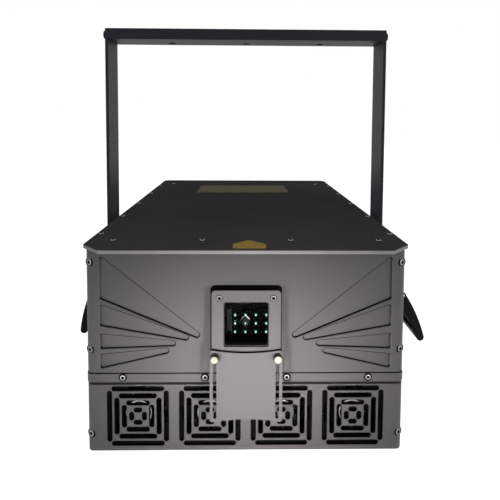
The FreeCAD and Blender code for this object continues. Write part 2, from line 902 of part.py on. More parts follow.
def handle_grip(y_handle, angle):
    """Right grip: a bowed bail with a rounded tip and an inner lip, opened outwards by an angle."""
    def point(drop, out):
        return V(hinge_x + out, y_handle, z_hinge - drop)
    tip_middle = point(handle_reach, (handle_tip_out + handle_tip_in) / 2)
    outer_tip = point(handle_tip_drop, handle_tip_out)
    inner_tip = point(handle_tip_drop, handle_tip_in)
    outer = Part.Arc(point(0, handle_eye_radius), point(handle_bow_drop, handle_bow), outer_tip).toShape()
    end = Part.Arc(outer_tip, tip_middle, inner_tip).toShape()
    inner = [
        inner_tip,
        point(handle_lip_drop, handle_lip),
        point(handle_notch_drop, handle_notch),
        point(handle_belly_drop, handle_belly),
        point(0, -handle_eye_radius),
        point(0, handle_eye_radius),
    ]
    edges = [outer, end] + [Part.LineSegment(a, b).toShape() for a, b in zip(inner, inner[1:])]
    grip = Part.Face(Part.Wire(edges)).extrude(V(0, handle_length, 0))
    grip = grip.fuse(cylinder(handle_eye_radius, handle_length, V(hinge_x, y_handle, z_hinge), AXIS_Y))
    window = box(hinge_x - handle_reach, hinge_x + handle_reach,
                 y_handle + handle_leg_width, y_handle + handle_length - handle_leg_width,
                 z_hinge - handle_window_end, z_hinge - handle_window_start)
    bore = cylinder(handle_pin_radius + running_clearance, handle_length, V(hinge_x, y_handle, z_hinge), AXIS_Y)
    grip = grip.cut([window, bore]).removeSplitter()
    grip.rotate(V(hinge_x, 0, z_hinge), AXIS_Y, -angle)
    return grip


def handle_screws():
    """Screws of both handle plates."""
    length = handle_screw_length()
    right = [button_screw(place, AXIS_X, length) for place in handle_screw_places(y_handle_right)]
    left = [mirrored(button_screw(place, AXIS_X, length)) for place in handle_screw_places(y_handle_left)]
    return Part.makeCompound(right + left)


def yoke_bolt_places():
    """Bolt axes at the right end of the top bar."""
    return [V(arm_outer, y_pivot + side * yoke_bolt_spacing / 2, z_bar + bar_height / 2) for side in (-1, 1)]


def yoke_bolt_hole(place, grow):
    """Shank of one yoke bolt, from the arm's outer face into the bar's end wall."""
    length = arm_thickness + bar_end_wall
    return cylinder(yoke_bolt_radius + grow, length, V(place.x - length, place.y, place.z), AXIS_X)


def yoke_bolts():
    """Dome-head bolts that join the arms to the top bar."""
    bolts = []
    for place in yoke_bolt_places():
        top = yoke_bolt_head_radius * yoke_bolt_head_taper
        head = Part.makeCone(yoke_bolt_head_radius, top, yoke_bolt_head_height, place, AXIS_X)
        bolt = fuse([head, yoke_bolt_hole(place, 0)])
        bolts += [bolt, mirrored(bolt)]
    return Part.makeCompound(bolts)


def yoke_top_bar():
    """Rectangular tube with solid ends and three through holes for clamps."""
    y0 = y_pivot - arm_width / 2
    bar = box(-arm_inner, arm_inner, y0, y0 + arm_width, z_bar, z_bar + bar_height)
    inner = arm_inner - bar_end_wall
    hollow = box(-inner, inner, y0 + bar_wall, y0 + arm_width - bar_wall,
                 z_bar + bar_wall, z_bar + bar_height - bar_wall)
    cutters = [hollow]
    for index in (-1, 0, 1):
        place = V(index * clamp_hole_pitch, y0 + clamp_hole_setback, z_bar)
        cutters.append(cylinder(clamp_hole_radius, bar_height, place, AXIS_Z))
    for place in yoke_bolt_places():
        hole = yoke_bolt_hole(place, hole_clearance)
        cutters += [hole, mirrored(hole)]
    return bar.cut(cutters)


def yoke_arm():
    """Right flat arm, rounded at its lower end about the pivot."""
    y0 = y_pivot - arm_width / 2
    bar = box(arm_inner, arm_outer, y0, y0 + arm_width, z_pivot, z_bar + bar_height)
    end = cylinder(arm_width / 2, arm_thickness, V(arm_inner, y_pivot, z_pivot), AXIS_X)
    place = V(arm_inner, y_pivot, z_pivot)
    cutters = [cylinder(pivot_stud_radius + running_clearance, arm_thickness, place, AXIS_X)]
    cutters += [yoke_bolt_hole(bolt, hole_clearance) for bolt in yoke_bolt_places()]
    return fuse([bar, end]).cut(cutters)


def pivot_studs():
    """Round bosses on the side panels, each with the stud that carries the yoke."""
    boss_length = yoke_side_gap - washer_thickness - washer_gap
    boss = cylinder(pivot_boss_radius, boss_length, V(half_width, y_pivot, z_pivot), AXIS_X)
    length = yoke_side_gap + arm_thickness + knob_gap + knob_length - knob_wall - stud_end_gap
    stud = cylinder(pivot_stud_radius, length, V(half_width, y_pivot, z_pivot), AXIS_X)
    return pair(fuse([boss, stud]))


def pivot_washers():
    """Friction washers between the bosses and the arms."""
    start = V(arm_inner - washer_thickness, y_pivot, z_pivot)
    ring = cylinder(pivot_boss_radius, washer_thickness, start, AXIS_X)
    bore = cylinder(pivot_stud_radius + hole_clearance, washer_thickness, start, AXIS_X)
    return pair(ring.cut(bore))


def pivot_knob():
    """Right lobed hand knob on the stud."""
    start = V(arm_outer + knob_gap, y_pivot, z_pivot)
    core = cylinder(knob_radius - knob_lobe_radius / 2, knob_length, start, AXIS_X)
    lobes = []
    for index in range(knob_lobes):
        angle = 2 * math.pi * index / knob_lobes
        reach = knob_radius - knob_lobe_radius
        place = start + V(0, math.cos(angle) * reach, math.sin(angle) * reach)
        lobes.append(cylinder(knob_lobe_radius, knob_length, place, AXIS_X))
    bore = cylinder(pivot_stud_radius + running_clearance, knob_length - knob_wall, start, AXIS_X)
    return fuse([core] + lobes).cut(bore)


def heat_sink():
    """Finned sink that stands on the base and carries the optics plate."""
    half = (body_width - sink_margin) / 2
    y0 = y_inner + fan_depth + sink_fan_gap
    y1 = y0 + body_length * sink_length_share
    pieces = [box(-half, half, y0, y1, z_plate - sink_base, z_plate)]
    pitch = (2 * half - sink_fin) / (sink_fin_count - 1)
    for index in range(sink_fin_count):
        x = index * pitch - half
        pieces.append(box(x, x + sink_fin, y0, y1, z_floor, z_plate - sink_base))
    return fuse(pieces)


def optics_plate():
    """Thick plate that all the optics are bolted to."""
    half = half_width - plate_side_gap
    y0 = y_inner + post_side + plate_front_gap
    plate = box(-half, half, y0, y0 + body_length * plate_length_share, z_plate, z_plate_top)
    reach = laser_offset + mount_width
    tongue = box(-reach, reach, y_inner + plate_front_gap, y0, z_plate, z_plate_top)
    return fuse([plate, tongue])


def bank_block():
    """Green diode bank: the block that carries the lenses."""
    half_x = (bank_columns - 1) * bank_pitch_x / 2 + bank_margin
    top = z_lens + (bank_rows - 1) * bank_pitch_z / 2 + bank_margin
    y0 = y_front + bank_setback
    return box(bank_offset - half_x, bank_offset + half_x, y0, y0 + bank_depth, z_plate_top, top)


def bank_lenses():
    """Round collimator lenses on the front of the diode bank."""
    lenses = []
    for column in range(bank_columns):
        for row in range(bank_rows):
            x = bank_offset + (column - (bank_columns - 1) / 2) * bank_pitch_x
            z = z_lens + (row - (bank_rows - 1) / 2) * bank_pitch_z
            place = V(x, y_front + bank_setback - lens_length, z)
            lenses.append(cylinder(lens_radius, lens_length, place, AXIS_Y))
    return Part.makeCompound(lenses)


def laser_module(x):
    """Laser housing with a beam nose at the front and cooling fins on top."""
    y0 = y_front + laser_setback
    low = x - laser_width / 2
    body = box(low, low + laser_width, y0, y0 + laser_length, z_plate_top, z_plate_top + laser_height)
    nose = cylinder(laser_nose_radius, laser_nose_length, V(x, y0 - laser_nose_length, z_galvo), AXIS_Y)
    cutters = []
    pitch = laser_width / laser_fin_count
    top = z_plate_top + laser_height
    for index in range(laser_fin_count - 1):
        middle = low + (index + 1) * pitch
        cutters.append(box(middle - pitch / 4, middle + pitch / 4, y0, y0 + laser_length,
                           top - laser_fin_depth, top))
    return fuse([body, nose]).cut(cutters)


def mirror_mounts():
    """Posts that carry the folding mirrors."""
    mounts = []
    for side in (-1, 1):
        place = V(side * laser_offset, y_front + mirror_setback, z_plate_top)
        height = z_galvo + mirror_size / 2 - z_plate_top
        plate = box(-mount_width / 2, mount_width / 2, mirror_glass, mirror_glass + mount_foot, 0, height)
        foot = box(-mount_width / 2, mount_width / 2, 0, 2 * mount_foot, 0, mount_foot / 2)
        mount = fuse([plate, foot])
        mount.rotate(V(0, 0, 0), AXIS_Z, 180 + side * mirror_angle)
        mount.translate(place)
        mounts.append(mount)
    return Part.makeCompound(mounts)


def beam_mirrors():
    """Flat mirrors on the mounts."""
    mirrors = []
    for side in (-1, 1):
        place = V(side * laser_offset, y_front + mirror_setback, z_galvo)
        half = mirror_size / 2
        glass = box(-half, half, 0, mirror_glass, -half, half)
        glass.rotate(V(0, 0, 0), AXIS_Z, 180 + side * mirror_angle)
        glass.translate(place)
        mirrors.append(glass)
    return Part.makeCompound(mirrors)


def galvo_centre():
    """Middle of the lower scanner mirror, on both galvo axes."""
    return V(0, y_front + galvo_setback, z_galvo)


def galvo_block():
    """Galvo mount: a post with a level motor, and an arm over the mirrors with an upright motor."""
    centre = galvo_centre()
    y0 = centre.y - galvo_post_depth / 2
    y1 = centre.y + galvo_post_depth / 2
    x0 = -galvo_reach - galvo_post_width
    z_arm = centre.z + galvo_arm_rise
    post = box(x0, -galvo_reach, y0, y1, z_plate_top, z_arm + galvo_arm_height)
    arm = box(x0, galvo_motor_radius, y0, y1, z_arm, z_arm + galvo_arm_height)
    place = V(x0 - galvo_motor_length, centre.y, centre.z)
    level = cylinder(galvo_motor_radius, galvo_motor_length, place, AXIS_X)
    upright = cylinder(galvo_motor_radius, galvo_motor_length, V(0, centre.y, z_arm + galvo_arm_height), AXIS_Z)
    radius = galvo_shaft_radius + running_clearance
    cutters = [
        cylinder(radius, galvo_post_width, V(x0, centre.y, centre.z), AXIS_X),
        cylinder(radius, galvo_arm_height, V(0, centre.y, z_arm), AXIS_Z),
    ]
    return fuse([post, arm, level, upright]).cut(cutters)


def scanner_glass(width, height):
    """Thin eight-sided scanner mirror about its own middle, facing along Y."""
    half = width / 2
    waist = height * galvo_waist_share
    tip = half * galvo_tip_share
    quarter = [(half, waist), (tip, height / 2)]
    upper = quarter + [(-x, z) for x, z in reversed(quarter)]
    outline = upper + [(-x, -z) for x, z in upper]
    points = [V(x, -galvo_mirror_glass / 2, z) for x, z in outline]
    return Part.Face(Part.makePolygon(points + points[:1])).extrude(V(0, galvo_mirror_glass, 0))


def galvo_mirror_lower():
    """Lower scanner mirror on a level shaft that turns in the post."""
    centre = galvo_centre()
    reach = galvo_reach - galvo_mirror_width / 2 + galvo_shaft_bite
    start = V(-galvo_reach - galvo_post_width, centre.y, centre.z)
    shaft = cylinder(galvo_shaft_radius, galvo_post_width + reach, start, AXIS_X)
    glass = scanner_glass(galvo_mirror_width, galvo_mirror_height)
    glass.rotate(V(0, 0, 0), AXIS_X, -galvo_tilt)
    glass.translate(centre)
    return fuse([shaft, glass])


def galvo_mirror_upper():
    """Upper scanner mirror on an upright shaft that turns in the arm."""
    centre = galvo_centre()
    middle = centre + V(0, 0, galvo_upper_rise)
    low = middle.z + galvo_upper_height / 2 - galvo_shaft_bite
    high = centre.z + galvo_arm_rise + galvo_arm_height
    shaft = cylinder(galvo_shaft_radius, high - low, V(middle.x, middle.y, low), AXIS_Z)
    glass = scanner_glass(galvo_mirror_width, galvo_upper_height)
    glass.rotate(V(0, 0, 0), AXIS_Z, galvo_tilt)
    glass.translate(middle)
    return fuse([shaft, glass])


def power_supply():
    """Enclosed supply on the base, with a terminal shelf at its front end."""
    x0 = -body_width * supply_offset_share - supply_width / 2
    y1 = y_rear - sheet - supply_rear_gap
    length = body_length * supply_length_share
    case = box(x0, x0 + supply_width, y1 - length, y1, z_floor, z_floor + supply_height)
    shelf = box(x0 + sheet, x0 + supply_width - sheet, y1 - length, y1 - length * (1 - supply_shelf_share),
                z_floor + supply_height * supply_shelf_rise, z_floor + supply_height)
    return case.cut(shelf)


def control_board():
    """Circuit board on standoffs, with its larger components."""
    x0 = body_width * board_offset_share - board_width / 2
    y1 = y_rear - sheet - board_rear_gap
    y0 = y1 - board_length
    z = z_floor + board_standoff
    pieces = [box(x0, x0 + board_width, y0, y1, z, z + board_thickness)]
    inset = board_standoff
    for x in (x0 + inset, x0 + board_width - inset):
        for y in (y0 + inset, y1 - inset):
            pieces.append(cylinder(board_standoff / 2, board_standoff, V(x, y, z_floor), AXIS_Z))
    top = z + board_thickness
    x1 = x0 + chip_inset
    y2 = y0 + chip_inset
    pieces.append(box(x1, x1 + chip_size, y2, y2 + chip_size, top, top + chip_height))
    x2 = x0 + board_width - chip_inset
    pieces.append(box(x2 - chip_size, x2, y2, y2 + relay_length, top, top + relay_height))
    for index in range(capacitor_count):
        place = V(x1 + index * capacitor_pitch, y1 - chip_size, top)
        pieces.append(cylinder(capacitor_radius, capacitor_height, place, AXIS_Z))
    return fuse(pieces)


def power_inlet():
    """Power inlet with its plug cavity, and a well for the rocker switch."""
    y0 = y_rear - inlet_depth
    body = inlet_rectangle(0, y0, inlet_depth)
    flange = inlet_rectangle(inlet_flange, y_rear, inlet_proud)
    z = z_inlet
    y_open = y_rear + inlet_proud - inlet_cavity_depth
    half = inlet_cavity_width / 2
    cavity = box(inlet_x - half, inlet_x + half, y_open, y_rear + inlet_proud,
                 z - inlet_cavity_height / 2, z + inlet_cavity_height / 2)
    well = box(rocker_x - rocker_width / 2 - rocker_gap, rocker_x + rocker_width / 2 + rocker_gap,
               y_rear - rocker_depth - rocker_gap, y_rear + inlet_proud,
               z - rocker_height / 2 - rocker_gap, z + rocker_height / 2 + rocker_gap)
    return fuse([body, flange]).cut([cavity, well])


def power_switch():
    """Rocker that tips about its middle."""
    half = rocker_height / 2
    x0 = rocker_x - rocker_width / 2
    y0 = y_rear - rocker_depth * rocker_seat_share
    block = box(x0, x0 + rocker_width, y0, y_rear + inlet_proud + rocker_proud, z_inlet - half, z_inlet + half)
    return block.common(cylinder(half, rocker_width, V(x0, y_rear, z_inlet), AXIS_X))


def key_switch():
    """Key in its lock: the barrel turns with the key's bow."""
    barrel = cylinder(key_radius, key_body + key_proud, V(key_x, y_rear - key_body, z_key), AXIS_Y)
    half = key_blade / 2
    y0 = y_rear + key_proud
    bow = box(key_x - half, key_x + half, y0, y0 + key_bow, z_key - key_width / 2, z_key + key_width / 2)
    place = V(key_x - half, y_rear + rear_reach * key_ring_place, z_key)
    return fuse([barrel, bow.cut(cylinder(key_width * key_ring_share, key_blade, place, AXIS_X))])


def signal_sockets():
    """Two round signal sockets and one trapezoid data socket."""
    sockets = []
    for x, z in xlr_places():
        flange = rounded_rectangle(xlr_flange_width, xlr_flange_height, xlr_corner_radius,
                                   x, y_rear, z, inlet_proud)
        barrel = cylinder(xlr_radius, xlr_depth, V(x, y_rear - xlr_depth, z), AXIS_Y)
        bore = cylinder(xlr_bore_radius, xlr_bore_depth, V(x, y_rear + inlet_proud - xlr_bore_depth, z), AXIS_Y)
        sockets.append(fuse([flange, barrel]).cut(bore))
    flange = rounded_rectangle(dsub_width, dsub_height, dsub_corner_radius,
                               dsub_x, y_rear, z_inlet, inlet_proud / 2)
    half = dsub_shell_width / 2
    rise = dsub_shell_height / 2
    shell = box(dsub_x - half, dsub_x + half, y_rear - dsub_depth, y_rear + dsub_proud,
                z_inlet - rise, z_inlet + rise)
    sockets.append(fuse([flange, shell]))
    return Part.makeCompound(sockets)


def build():
    """Every node of the projector by name."""
    nodes = {
        "base_plate": base_plate(),
        "top_lid": top_lid(),
        "front_panel": front_panel(),
        "fan_panel": fan_panel(),
        "side_panel_right": side_panel(y_handle_right),
        "side_panel_left": mirrored(side_panel(y_handle_left)),
        "rear_panel": rear_panel(),
        "cross_rails": cross_rails(),
        "corner_posts": corner_posts(),
        "lid_screws": lid_screws(),
        "panel_screws": panel_screws(),
        "rubber_feet": rubber_feet(),
        "window_bezel": window_bezel(),
        "bezel_screws": bezel_screws(),
        "window_glass": window_glass(),
        "window_gasket": window_gasket(),
        "shutter_plate": shutter_plate(),
        "shutter_spacers": shutter_spacers(),
        "thumbscrew_left": thumbscrew(thumb_places()[0]),
        "thumbscrew_right": thumbscrew(thumb_places()[1]),
        "fan_screws": fan_screws(),
        "handle_base_right": handle_base(y_handle_right),
        "handle_base_left": mirrored(handle_base(y_handle_left)),
        "handle_pins": handle_pins(),
        "handle_grip_right": handle_grip(y_handle_right, handle_right_angle),
        "handle_grip_left": mirrored(handle_grip(y_handle_left, handle_left_angle)),
        "handle_screws": handle_screws(),
        "yoke_top_bar": yoke_top_bar(),
        "yoke_arm_right": yoke_arm(),
        "yoke_arm_left": mirrored(yoke_arm()),
        "yoke_bolts": yoke_bolts(),
        "pivot_studs": pivot_studs(),
        "pivot_washers": pivot_washers(),
        "pivot_knob_right": pivot_knob(),
        "pivot_knob_left": mirrored(pivot_knob()),
        "heat_sink": heat_sink(),
        "optics_plate": optics_plate(),
        "green_diode_bank": bank_block(),
        "green_diode_lenses": bank_lenses(),
        "blue_laser_module": laser_module(-laser_offset),
        "red_laser_module": laser_module(laser_offset),
        "mirror_mounts": mirror_mounts(),
        "beam_mirrors": beam_mirrors(),
        "galvo_block": galvo_block(),
        "galvo_mirror_lower": galvo_mirror_lower(),
        "galvo_mirror_upper": galvo_mirror_upper(),
        "power_supply": power_supply(),
        "control_board": control_board(),
        "power_inlet": power_inlet(),
        "power_switch": power_switch(),
        "key_switch": key_switch(),
        "signal_sockets": signal_sockets(),
    }
    for index, x in enumerate(fan_places, 1):
        nodes["fan_frame_%d" % index] = fan_frame(x)
        nodes["fan_rotor_%d" % index] = fan_rotor(x)
    return nodes


def main():
    os.makedirs("parts", exist_ok=True)
    for name, shape in build().items():
        shape.exportStep("parts/%s.step" % name)


main()
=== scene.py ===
"""Finishes and small parts of a laser show projector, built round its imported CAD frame."""
import json
import math

import bmesh
import bpy
from bpy.props import FloatProperty, FloatVectorProperty, IntProperty, PointerProperty
from bpy.types import Operator, Panel, PropertyGroup
from mathutils import Matrix, Vector


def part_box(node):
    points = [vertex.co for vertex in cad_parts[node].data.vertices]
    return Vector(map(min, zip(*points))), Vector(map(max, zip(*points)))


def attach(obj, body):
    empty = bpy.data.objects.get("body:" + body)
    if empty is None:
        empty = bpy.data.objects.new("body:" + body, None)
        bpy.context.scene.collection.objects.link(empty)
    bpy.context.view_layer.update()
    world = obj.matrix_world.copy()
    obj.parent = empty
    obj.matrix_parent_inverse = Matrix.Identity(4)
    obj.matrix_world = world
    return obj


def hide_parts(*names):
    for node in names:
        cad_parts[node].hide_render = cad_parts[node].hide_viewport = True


bl_info = {
    "name": "Laser show projector",
    "version": (1, 0, 0),
    "blender": (4, 5, 0),
    "location": "View3D > Sidebar > Projector",
    "description": "Dresses the packed projector with its finishes, screws and small parts",
    "category": "Add Mesh",
}

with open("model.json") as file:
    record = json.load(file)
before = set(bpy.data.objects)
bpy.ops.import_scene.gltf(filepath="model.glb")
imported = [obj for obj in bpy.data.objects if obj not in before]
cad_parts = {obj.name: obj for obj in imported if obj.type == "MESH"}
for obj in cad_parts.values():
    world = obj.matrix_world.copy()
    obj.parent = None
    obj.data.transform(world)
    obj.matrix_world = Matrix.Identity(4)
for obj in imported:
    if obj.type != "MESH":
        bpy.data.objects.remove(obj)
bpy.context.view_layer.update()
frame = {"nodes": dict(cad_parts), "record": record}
body_of_node = {node: body for body, nodes in frame["record"]["behaviour"]["bodies"].items() for node in nodes}
slot_of_node = {row["node"]: row["material_slot"] for row in frame["record"]["subparts"]}

AHEAD = Vector((0, -1, 0))
BEHIND = Vector((0, 1, 0))
UP = Vector((0, 0, 1))
WHITE = (1.0, 1.0, 1.0, 1.0)
BLACK = (0.0, 0.0, 0.0, 1.0)
WELD_DISTANCE = 2e-6


def metres(name, description, default):
    """Property that holds a length."""
    return FloatProperty(name=name, description=description, default=default, unit="LENGTH")


def fraction(name, description, default):
    """Property that holds a share or a strength."""
    return FloatProperty(name=name, description=description, default=default, subtype="FACTOR")


def bearing(name, description, degrees):
    """Property that holds an angle."""
    return FloatProperty(name=name, description=description, default=math.radians(degrees), subtype="ANGLE")


def watts(name, description, default):
    """Property that holds a lamp's power."""
    return FloatProperty(name=name, description=description, default=default, unit="POWER")


def paint(name, description, default):
    """Property that holds a colour."""
    return FloatVectorProperty(name=name, description=description, default=default, subtype="COLOR")


class ProjectorSizes(PropertyGroup):
    """Sizes that the looks add to the CAD solids"""

    edge_round: metres("Edge round", "Round on the sheet metal's edges", 0.0005)
    grip_round: metres("Grip round", "Round on the moulded grips and knobs", 0.0014)
    head_radius: metres("Screw head radius", "Radius of a button-head screw", 0.00375)
    head_height: metres("Screw head height", "Height of a button-head screw", 0.0022)
    head_sink: metres("Screw head sink", "How deep a front screw's head sits in its washer", 0.0012)
    socket_share: fraction("Socket share", "Hexagon socket's radius as a share of the head's", 0.56)
    bolt_radius: metres("Yoke bolt radius", "Radius of a yoke bolt's domed head", 0.0078)
    bolt_height: metres("Yoke bolt height", "Height of a yoke bolt's domed head", 0.0036)
    hub_radius: metres("Hub radius", "Radius of a fan's hub", 0.017)
    ring_height: metres("Hub ring height", "Height of the pale ring on a fan's hub", 0.0003)
    corner_turn: bearing("Corner screw turn", "Turn of a corner screw away from straight ahead", 27)
    corner_grow: fraction("Corner screw size", "Size of a corner screw's head against the others", 1.12)
    thumb_ridges: IntProperty(name="Thumbscrew ridges", description="Ridges round a thumbscrew's head", default=28)
    # The black washers under the front screws paint the shade ring round their heads.
    shade_ring_radius: metres("Washer radius", "Radius of a black washer under a front screw", 0.0055)
    shade_ring_margin: metres("Washer margin", "How far a washer shows round a bezel screw", 0.0006)
    shade_ring_height: metres("Washer height", "Height of a black washer", 0.0004)
    # The black frame round the bezel paints the shadow gap at its foot.
    shade_frame_margin: metres("Seal margin", "How far the bezel's seal shows at the sides", 0.0027)
    shade_frame_corner: metres("Seal corner", "Round of the bezel's seal at its corners", 0.0055)
    pane_margin: metres("Pane margin", "How far the pane reaches behind the window's edge", 0.0041)
    # The strip behind the shutter paints the shade in its gap to the bezel.
    gap_shade_depth: metres("Felt depth", "Depth of the strip behind the shutter's upper edge", 0.0014)
    lip_width: metres("Lip width", "Width of the lip inside the window's edge", 0.001)
    lip_corner: metres("Lip corner", "Round of that lip at its corners", 0.0046)
    lip_sink: metres("Lip sink", "How far that lip lies behind the bezel's face", 0.0026)
    glint_length: metres("Bevel length", "Length of a scanner mirror's upper bevels", 0.0082)
    glint_slope: bearing("Bevel slope", "Slope of a scanner mirror's upper bevels", 42)
    plate_height: metres("Plate height", "Thickness of the bare plates on the lid", 0.0005)


class ProjectorFinishes(PropertyGroup):
    """Colours of the projector's finishes"""

    coat_grey: paint("Housing grey", "Gunmetal coat of the housing", (0.1, 0.0965, 0.098))
    lid_black: paint("Lid black", "Satin black of the lid's top", (0.112, 0.107, 0.109))
    # The cut edge's colour, raised to paint the highlight along the lid's front.
    lid_cut_edge_highlight: paint("Lid edge", "Lighter cut edge of the lid", (0.465, 0.45, 0.446))
    yoke_black: paint("Yoke black", "Satin black of the yoke", (0.02, 0.022, 0.028))
    plastic_black: paint("Plastic black", "Moulded grips, knobs and fans", (0.014, 0.014, 0.016))
    # A pale ring that paints the highlight along each fan hub's edge.
    hub_highlight_ring: paint("Hub ring", "Pale ring round a fan's hub", (0.42, 0.42, 0.41))
    rubber_black: paint("Rubber black", "Feet, seal and friction washers", (0.02, 0.02, 0.02))
    screw_steel: paint("Screw steel", "Bright screws", (0.5, 0.5, 0.51))
    bolt_black: paint("Bolt black", "Blackened bolts of yoke and handles", (0.09, 0.09, 0.095))
    thumb_brass: paint("Thumbscrew brass", "Pale plated thumbscrews", (0.74, 0.7, 0.58))
    plate_gold: paint("Plate gold", "Bare plates on the lid", (0.62, 0.4, 0.08))
    bare_metal: paint("Bare aluminium", "Milled inner pieces", (0.55, 0.55, 0.57))
    inner_black: paint("Inner black", "Anodised inner pieces", (0.006, 0.006, 0.007))
    # Grey of the strip that paints a highlight on the scanner block.
    strip_grey: paint("Strip grey", "Strip on the scanner block", (0.085, 0.088, 0.09))
    case_grey: paint("Case grey", "Sheet of the supply's case", (0.5, 0.5, 0.5))
    # Bright metal of the strips that paint the scanner mirror's glint.
    glint_silver: paint("Bevel silver", "Polished bevels of a scanner mirror", (0.9, 0.88, 0.87))
    laser_green: paint("Laser green", "Rim glow of the diode lenses", (0.03, 0.6, 0.33))
    board_green: paint("Board green", "Circuit board lacquer", (0.015, 0.1, 0.04))
    lid_tarnish: fraction("Lid screw tarnish", "How dull the lid's screws are", 0.75)
    corner_tarnish: fraction("Corner screw tarnish", "How dull the corner screws are", 0.4)
    bezel_tarnish: fraction("Bezel screw tarnish", "How dull the bezel's screws are", 0.42)


class ProjectorView(PropertyGroup):
    """Camera and light"""

    eye: FloatVectorProperty(
        name="Eye", description="Camera place", subtype="XYZ", unit="LENGTH", default=(-0.0057, -0.8855, 0.4422))
    pitch: bearing("Pitch", "Camera tilt below level", 3.34)
    yaw: bearing("Yaw", "Camera turn to the right", 0.93)
    roll: bearing("Roll", "Camera roll", 0.31)
    lens: FloatProperty(
        name="Lens", description="Focal length on a 36 mm sensor", default=33.17, unit="CAMERA")
    rise: fraction("Rise", "Upright shift of the lens", -0.206)
    key_power: watts("Key light", "Power of the soft light on the right", 11.5)
    fill_power: watts("Fill light", "Power of the soft light on the left", 5.0)
    grid_power: watts("Gridded box", "Power of the narrow beam on the front", 0.4)
    sky: fraction("Sky", "Strength of the studio light near the horizon", 0.17)
    zenith: fraction("Zenith", "Strength of the studio light from above", 0.2)


def sizes():
    """Sizes of the scene."""
    return bpy.context.scene.projector_sizes


def finishes():
    """Colours of the scene."""
    return bpy.context.scene.projector_finishes


def tint(colour, share):
    """A colour made darker or lighter."""
    return tuple(min(1.0, value * share) for value in colour)


def shade(colour, share=1.0):
    """A colour made darker or lighter, with alpha."""
    return (*tint(colour, share), 1.0)


def set_inputs(node, values):
    """Sets inputs of a shader node to values, or links them to sockets."""
    for name, value in values.items():
        if isinstance(value, bpy.types.NodeSocket):
            node.id_data.links.new(value, node.inputs[name])
        else:
            node.inputs[name].default_value = value


def new_node(tree, kind, inputs, **settings):
    """New shader node with its settings and inputs."""
    node = tree.nodes.new("ShaderNode" + kind)
    for name, value in settings.items():
        setattr(node, name, value)
    set_inputs(node, inputs)
    return node


def start_finish(name, colour, roughness, metallic=0.0, gloss=0.5):
    """New material with its shader set; returns the material, its node tree and the shader."""
    material = bpy.data.materials.new(name)
    material.use_nodes = True
    shader = material.node_tree.nodes["Principled BSDF"]
    set_inputs(shader, {
        "Base Color": shade(colour), "Roughness": roughness, "Metallic": metallic, "Specular IOR Level": gloss})
    return material, material.node_tree, shader


def coordinates(tree, name="Object"):
    """Coordinate socket of a tree."""
    return new_node(tree, "TexCoord", {}).outputs[name]


def height_of(tree, place):
    """Upright part of a coordinate."""
    return new_node(tree, "SeparateXYZ", {"Vector": place}).outputs["Z"]


def marked(tree, name):
    """Value of a mesh attribute."""
    return new_node(tree, "Attribute", {}, attribute_name=name).outputs["Fac"]


def combined(tree, operation, first, second):
    """Two values joined by a math operation."""
    return new_node(tree, "Math", {0: first, 1: second}, operation=operation).outputs[0]


def noise(tree, scale, detail=2.0, stretch=(1.0, 1.0, 1.0)):
    """Noise on Object coordinates, stretched by a Mapping node."""
    place = new_node(tree, "Mapping", {"Vector": coordinates(tree), "Scale": stretch}).outputs["Vector"]
    return new_node(tree, "TexNoise", {"Vector": place, "Scale": scale, "Detail": detail}).outputs["Fac"]


def spread(tree, value, low, high, start=0.3, end=0.7):
    """Maps a value from start and end to low and high."""
    limits = {"From Min": start, "From Max": end, "To Min": low, "To Max": high}
    return new_node(tree, "MapRange", {"Value": value, **limits}).outputs["Result"]


def blend_colours(tree, factor, first, second):
    """Mix of two colours, each a tuple or a socket."""
    node = new_node(tree, "Mix", {"Factor": factor}, data_type="RGBA")
    slots = [index for index, socket in enumerate(node.inputs) if socket.type == "RGBA"]
    set_inputs(node, dict(zip(slots, (first, second))))
    return next(s for s in node.outputs if s.type == "RGBA")


def mottled(tree, value, colour, darker, lighter):
    """Colour that drifts with a noise value between a darker and a lighter tone."""
    return blend_colours(tree, spread(tree, value, 0.0, 1.0), shade(colour, darker), shade(colour, lighter))


def bumps(tree, value, depth, strength):
    """Normal that follows a value as a height."""
    return new_node(tree, "Bump", {"Strength": strength, "Distance": depth, "Height": value}).outputs["Normal"]


def wear_and_painted_light(tree, colour, worn):
    """Lightens the softened edges in patches as wear, and paints light on the faces that a face function marks pale."""
    patches = spread(tree, noise(tree, 60.0, 3.0), 0.1, 0.8)
    return blend_colours(tree, combined(tree, "MULTIPLY", marked(tree, "wear_and_light_mask"), patches), colour, worn)


def shade_and_tarnish_dark(tree, colour):
    """Turns the faces marked as dark nearly black: painted shade in hollows, gaps and sockets, and the tarnish of dull
    screw crowns.
    """
    return blend_colours(tree, marked(tree, "dark"), colour, (0.006, 0.006, 0.006, 1.0))


def powder_coat(name, colour, roughness=0.46, metallic=0.1, grain_depth=0.00006, gloss=0.3):
    """Satin coat with a fine grain, a slow drift in tone and paler worn edges; faces marked dark get painted shade,
    nearly black and without gloss, and faces marked pale get painted light.
    """
    material, tree, shader = start_finish(name, colour, roughness, metallic, gloss)
    tone = mottled(tree, noise(tree, 7.0, 3.0), colour, 0.93, 1.07)
    speck = spread(tree, noise(tree, 2600.0, 1.0), 0.0, 1.0, 0.35, 0.75)
    tone = blend_colours(tree, speck, tone, shade(colour, 1.16))
    grain = noise(tree, 1300.0)
    set_inputs(shader, {
        "Base Color": shade_and_tarnish_dark(tree, wear_and_painted_light(tree, tone, shade(colour, 2.2))),
        # Painted shade: faces marked dark lose their gloss as well.
        "Specular IOR Level": spread(tree, marked(tree, "dark"), gloss, 0.0, 0.0, 1.0),
        "Roughness": spread(tree, grain, roughness - 0.05, roughness + 0.07),
        "Normal": bumps(tree, grain, grain_depth, 0.6)})
    return material


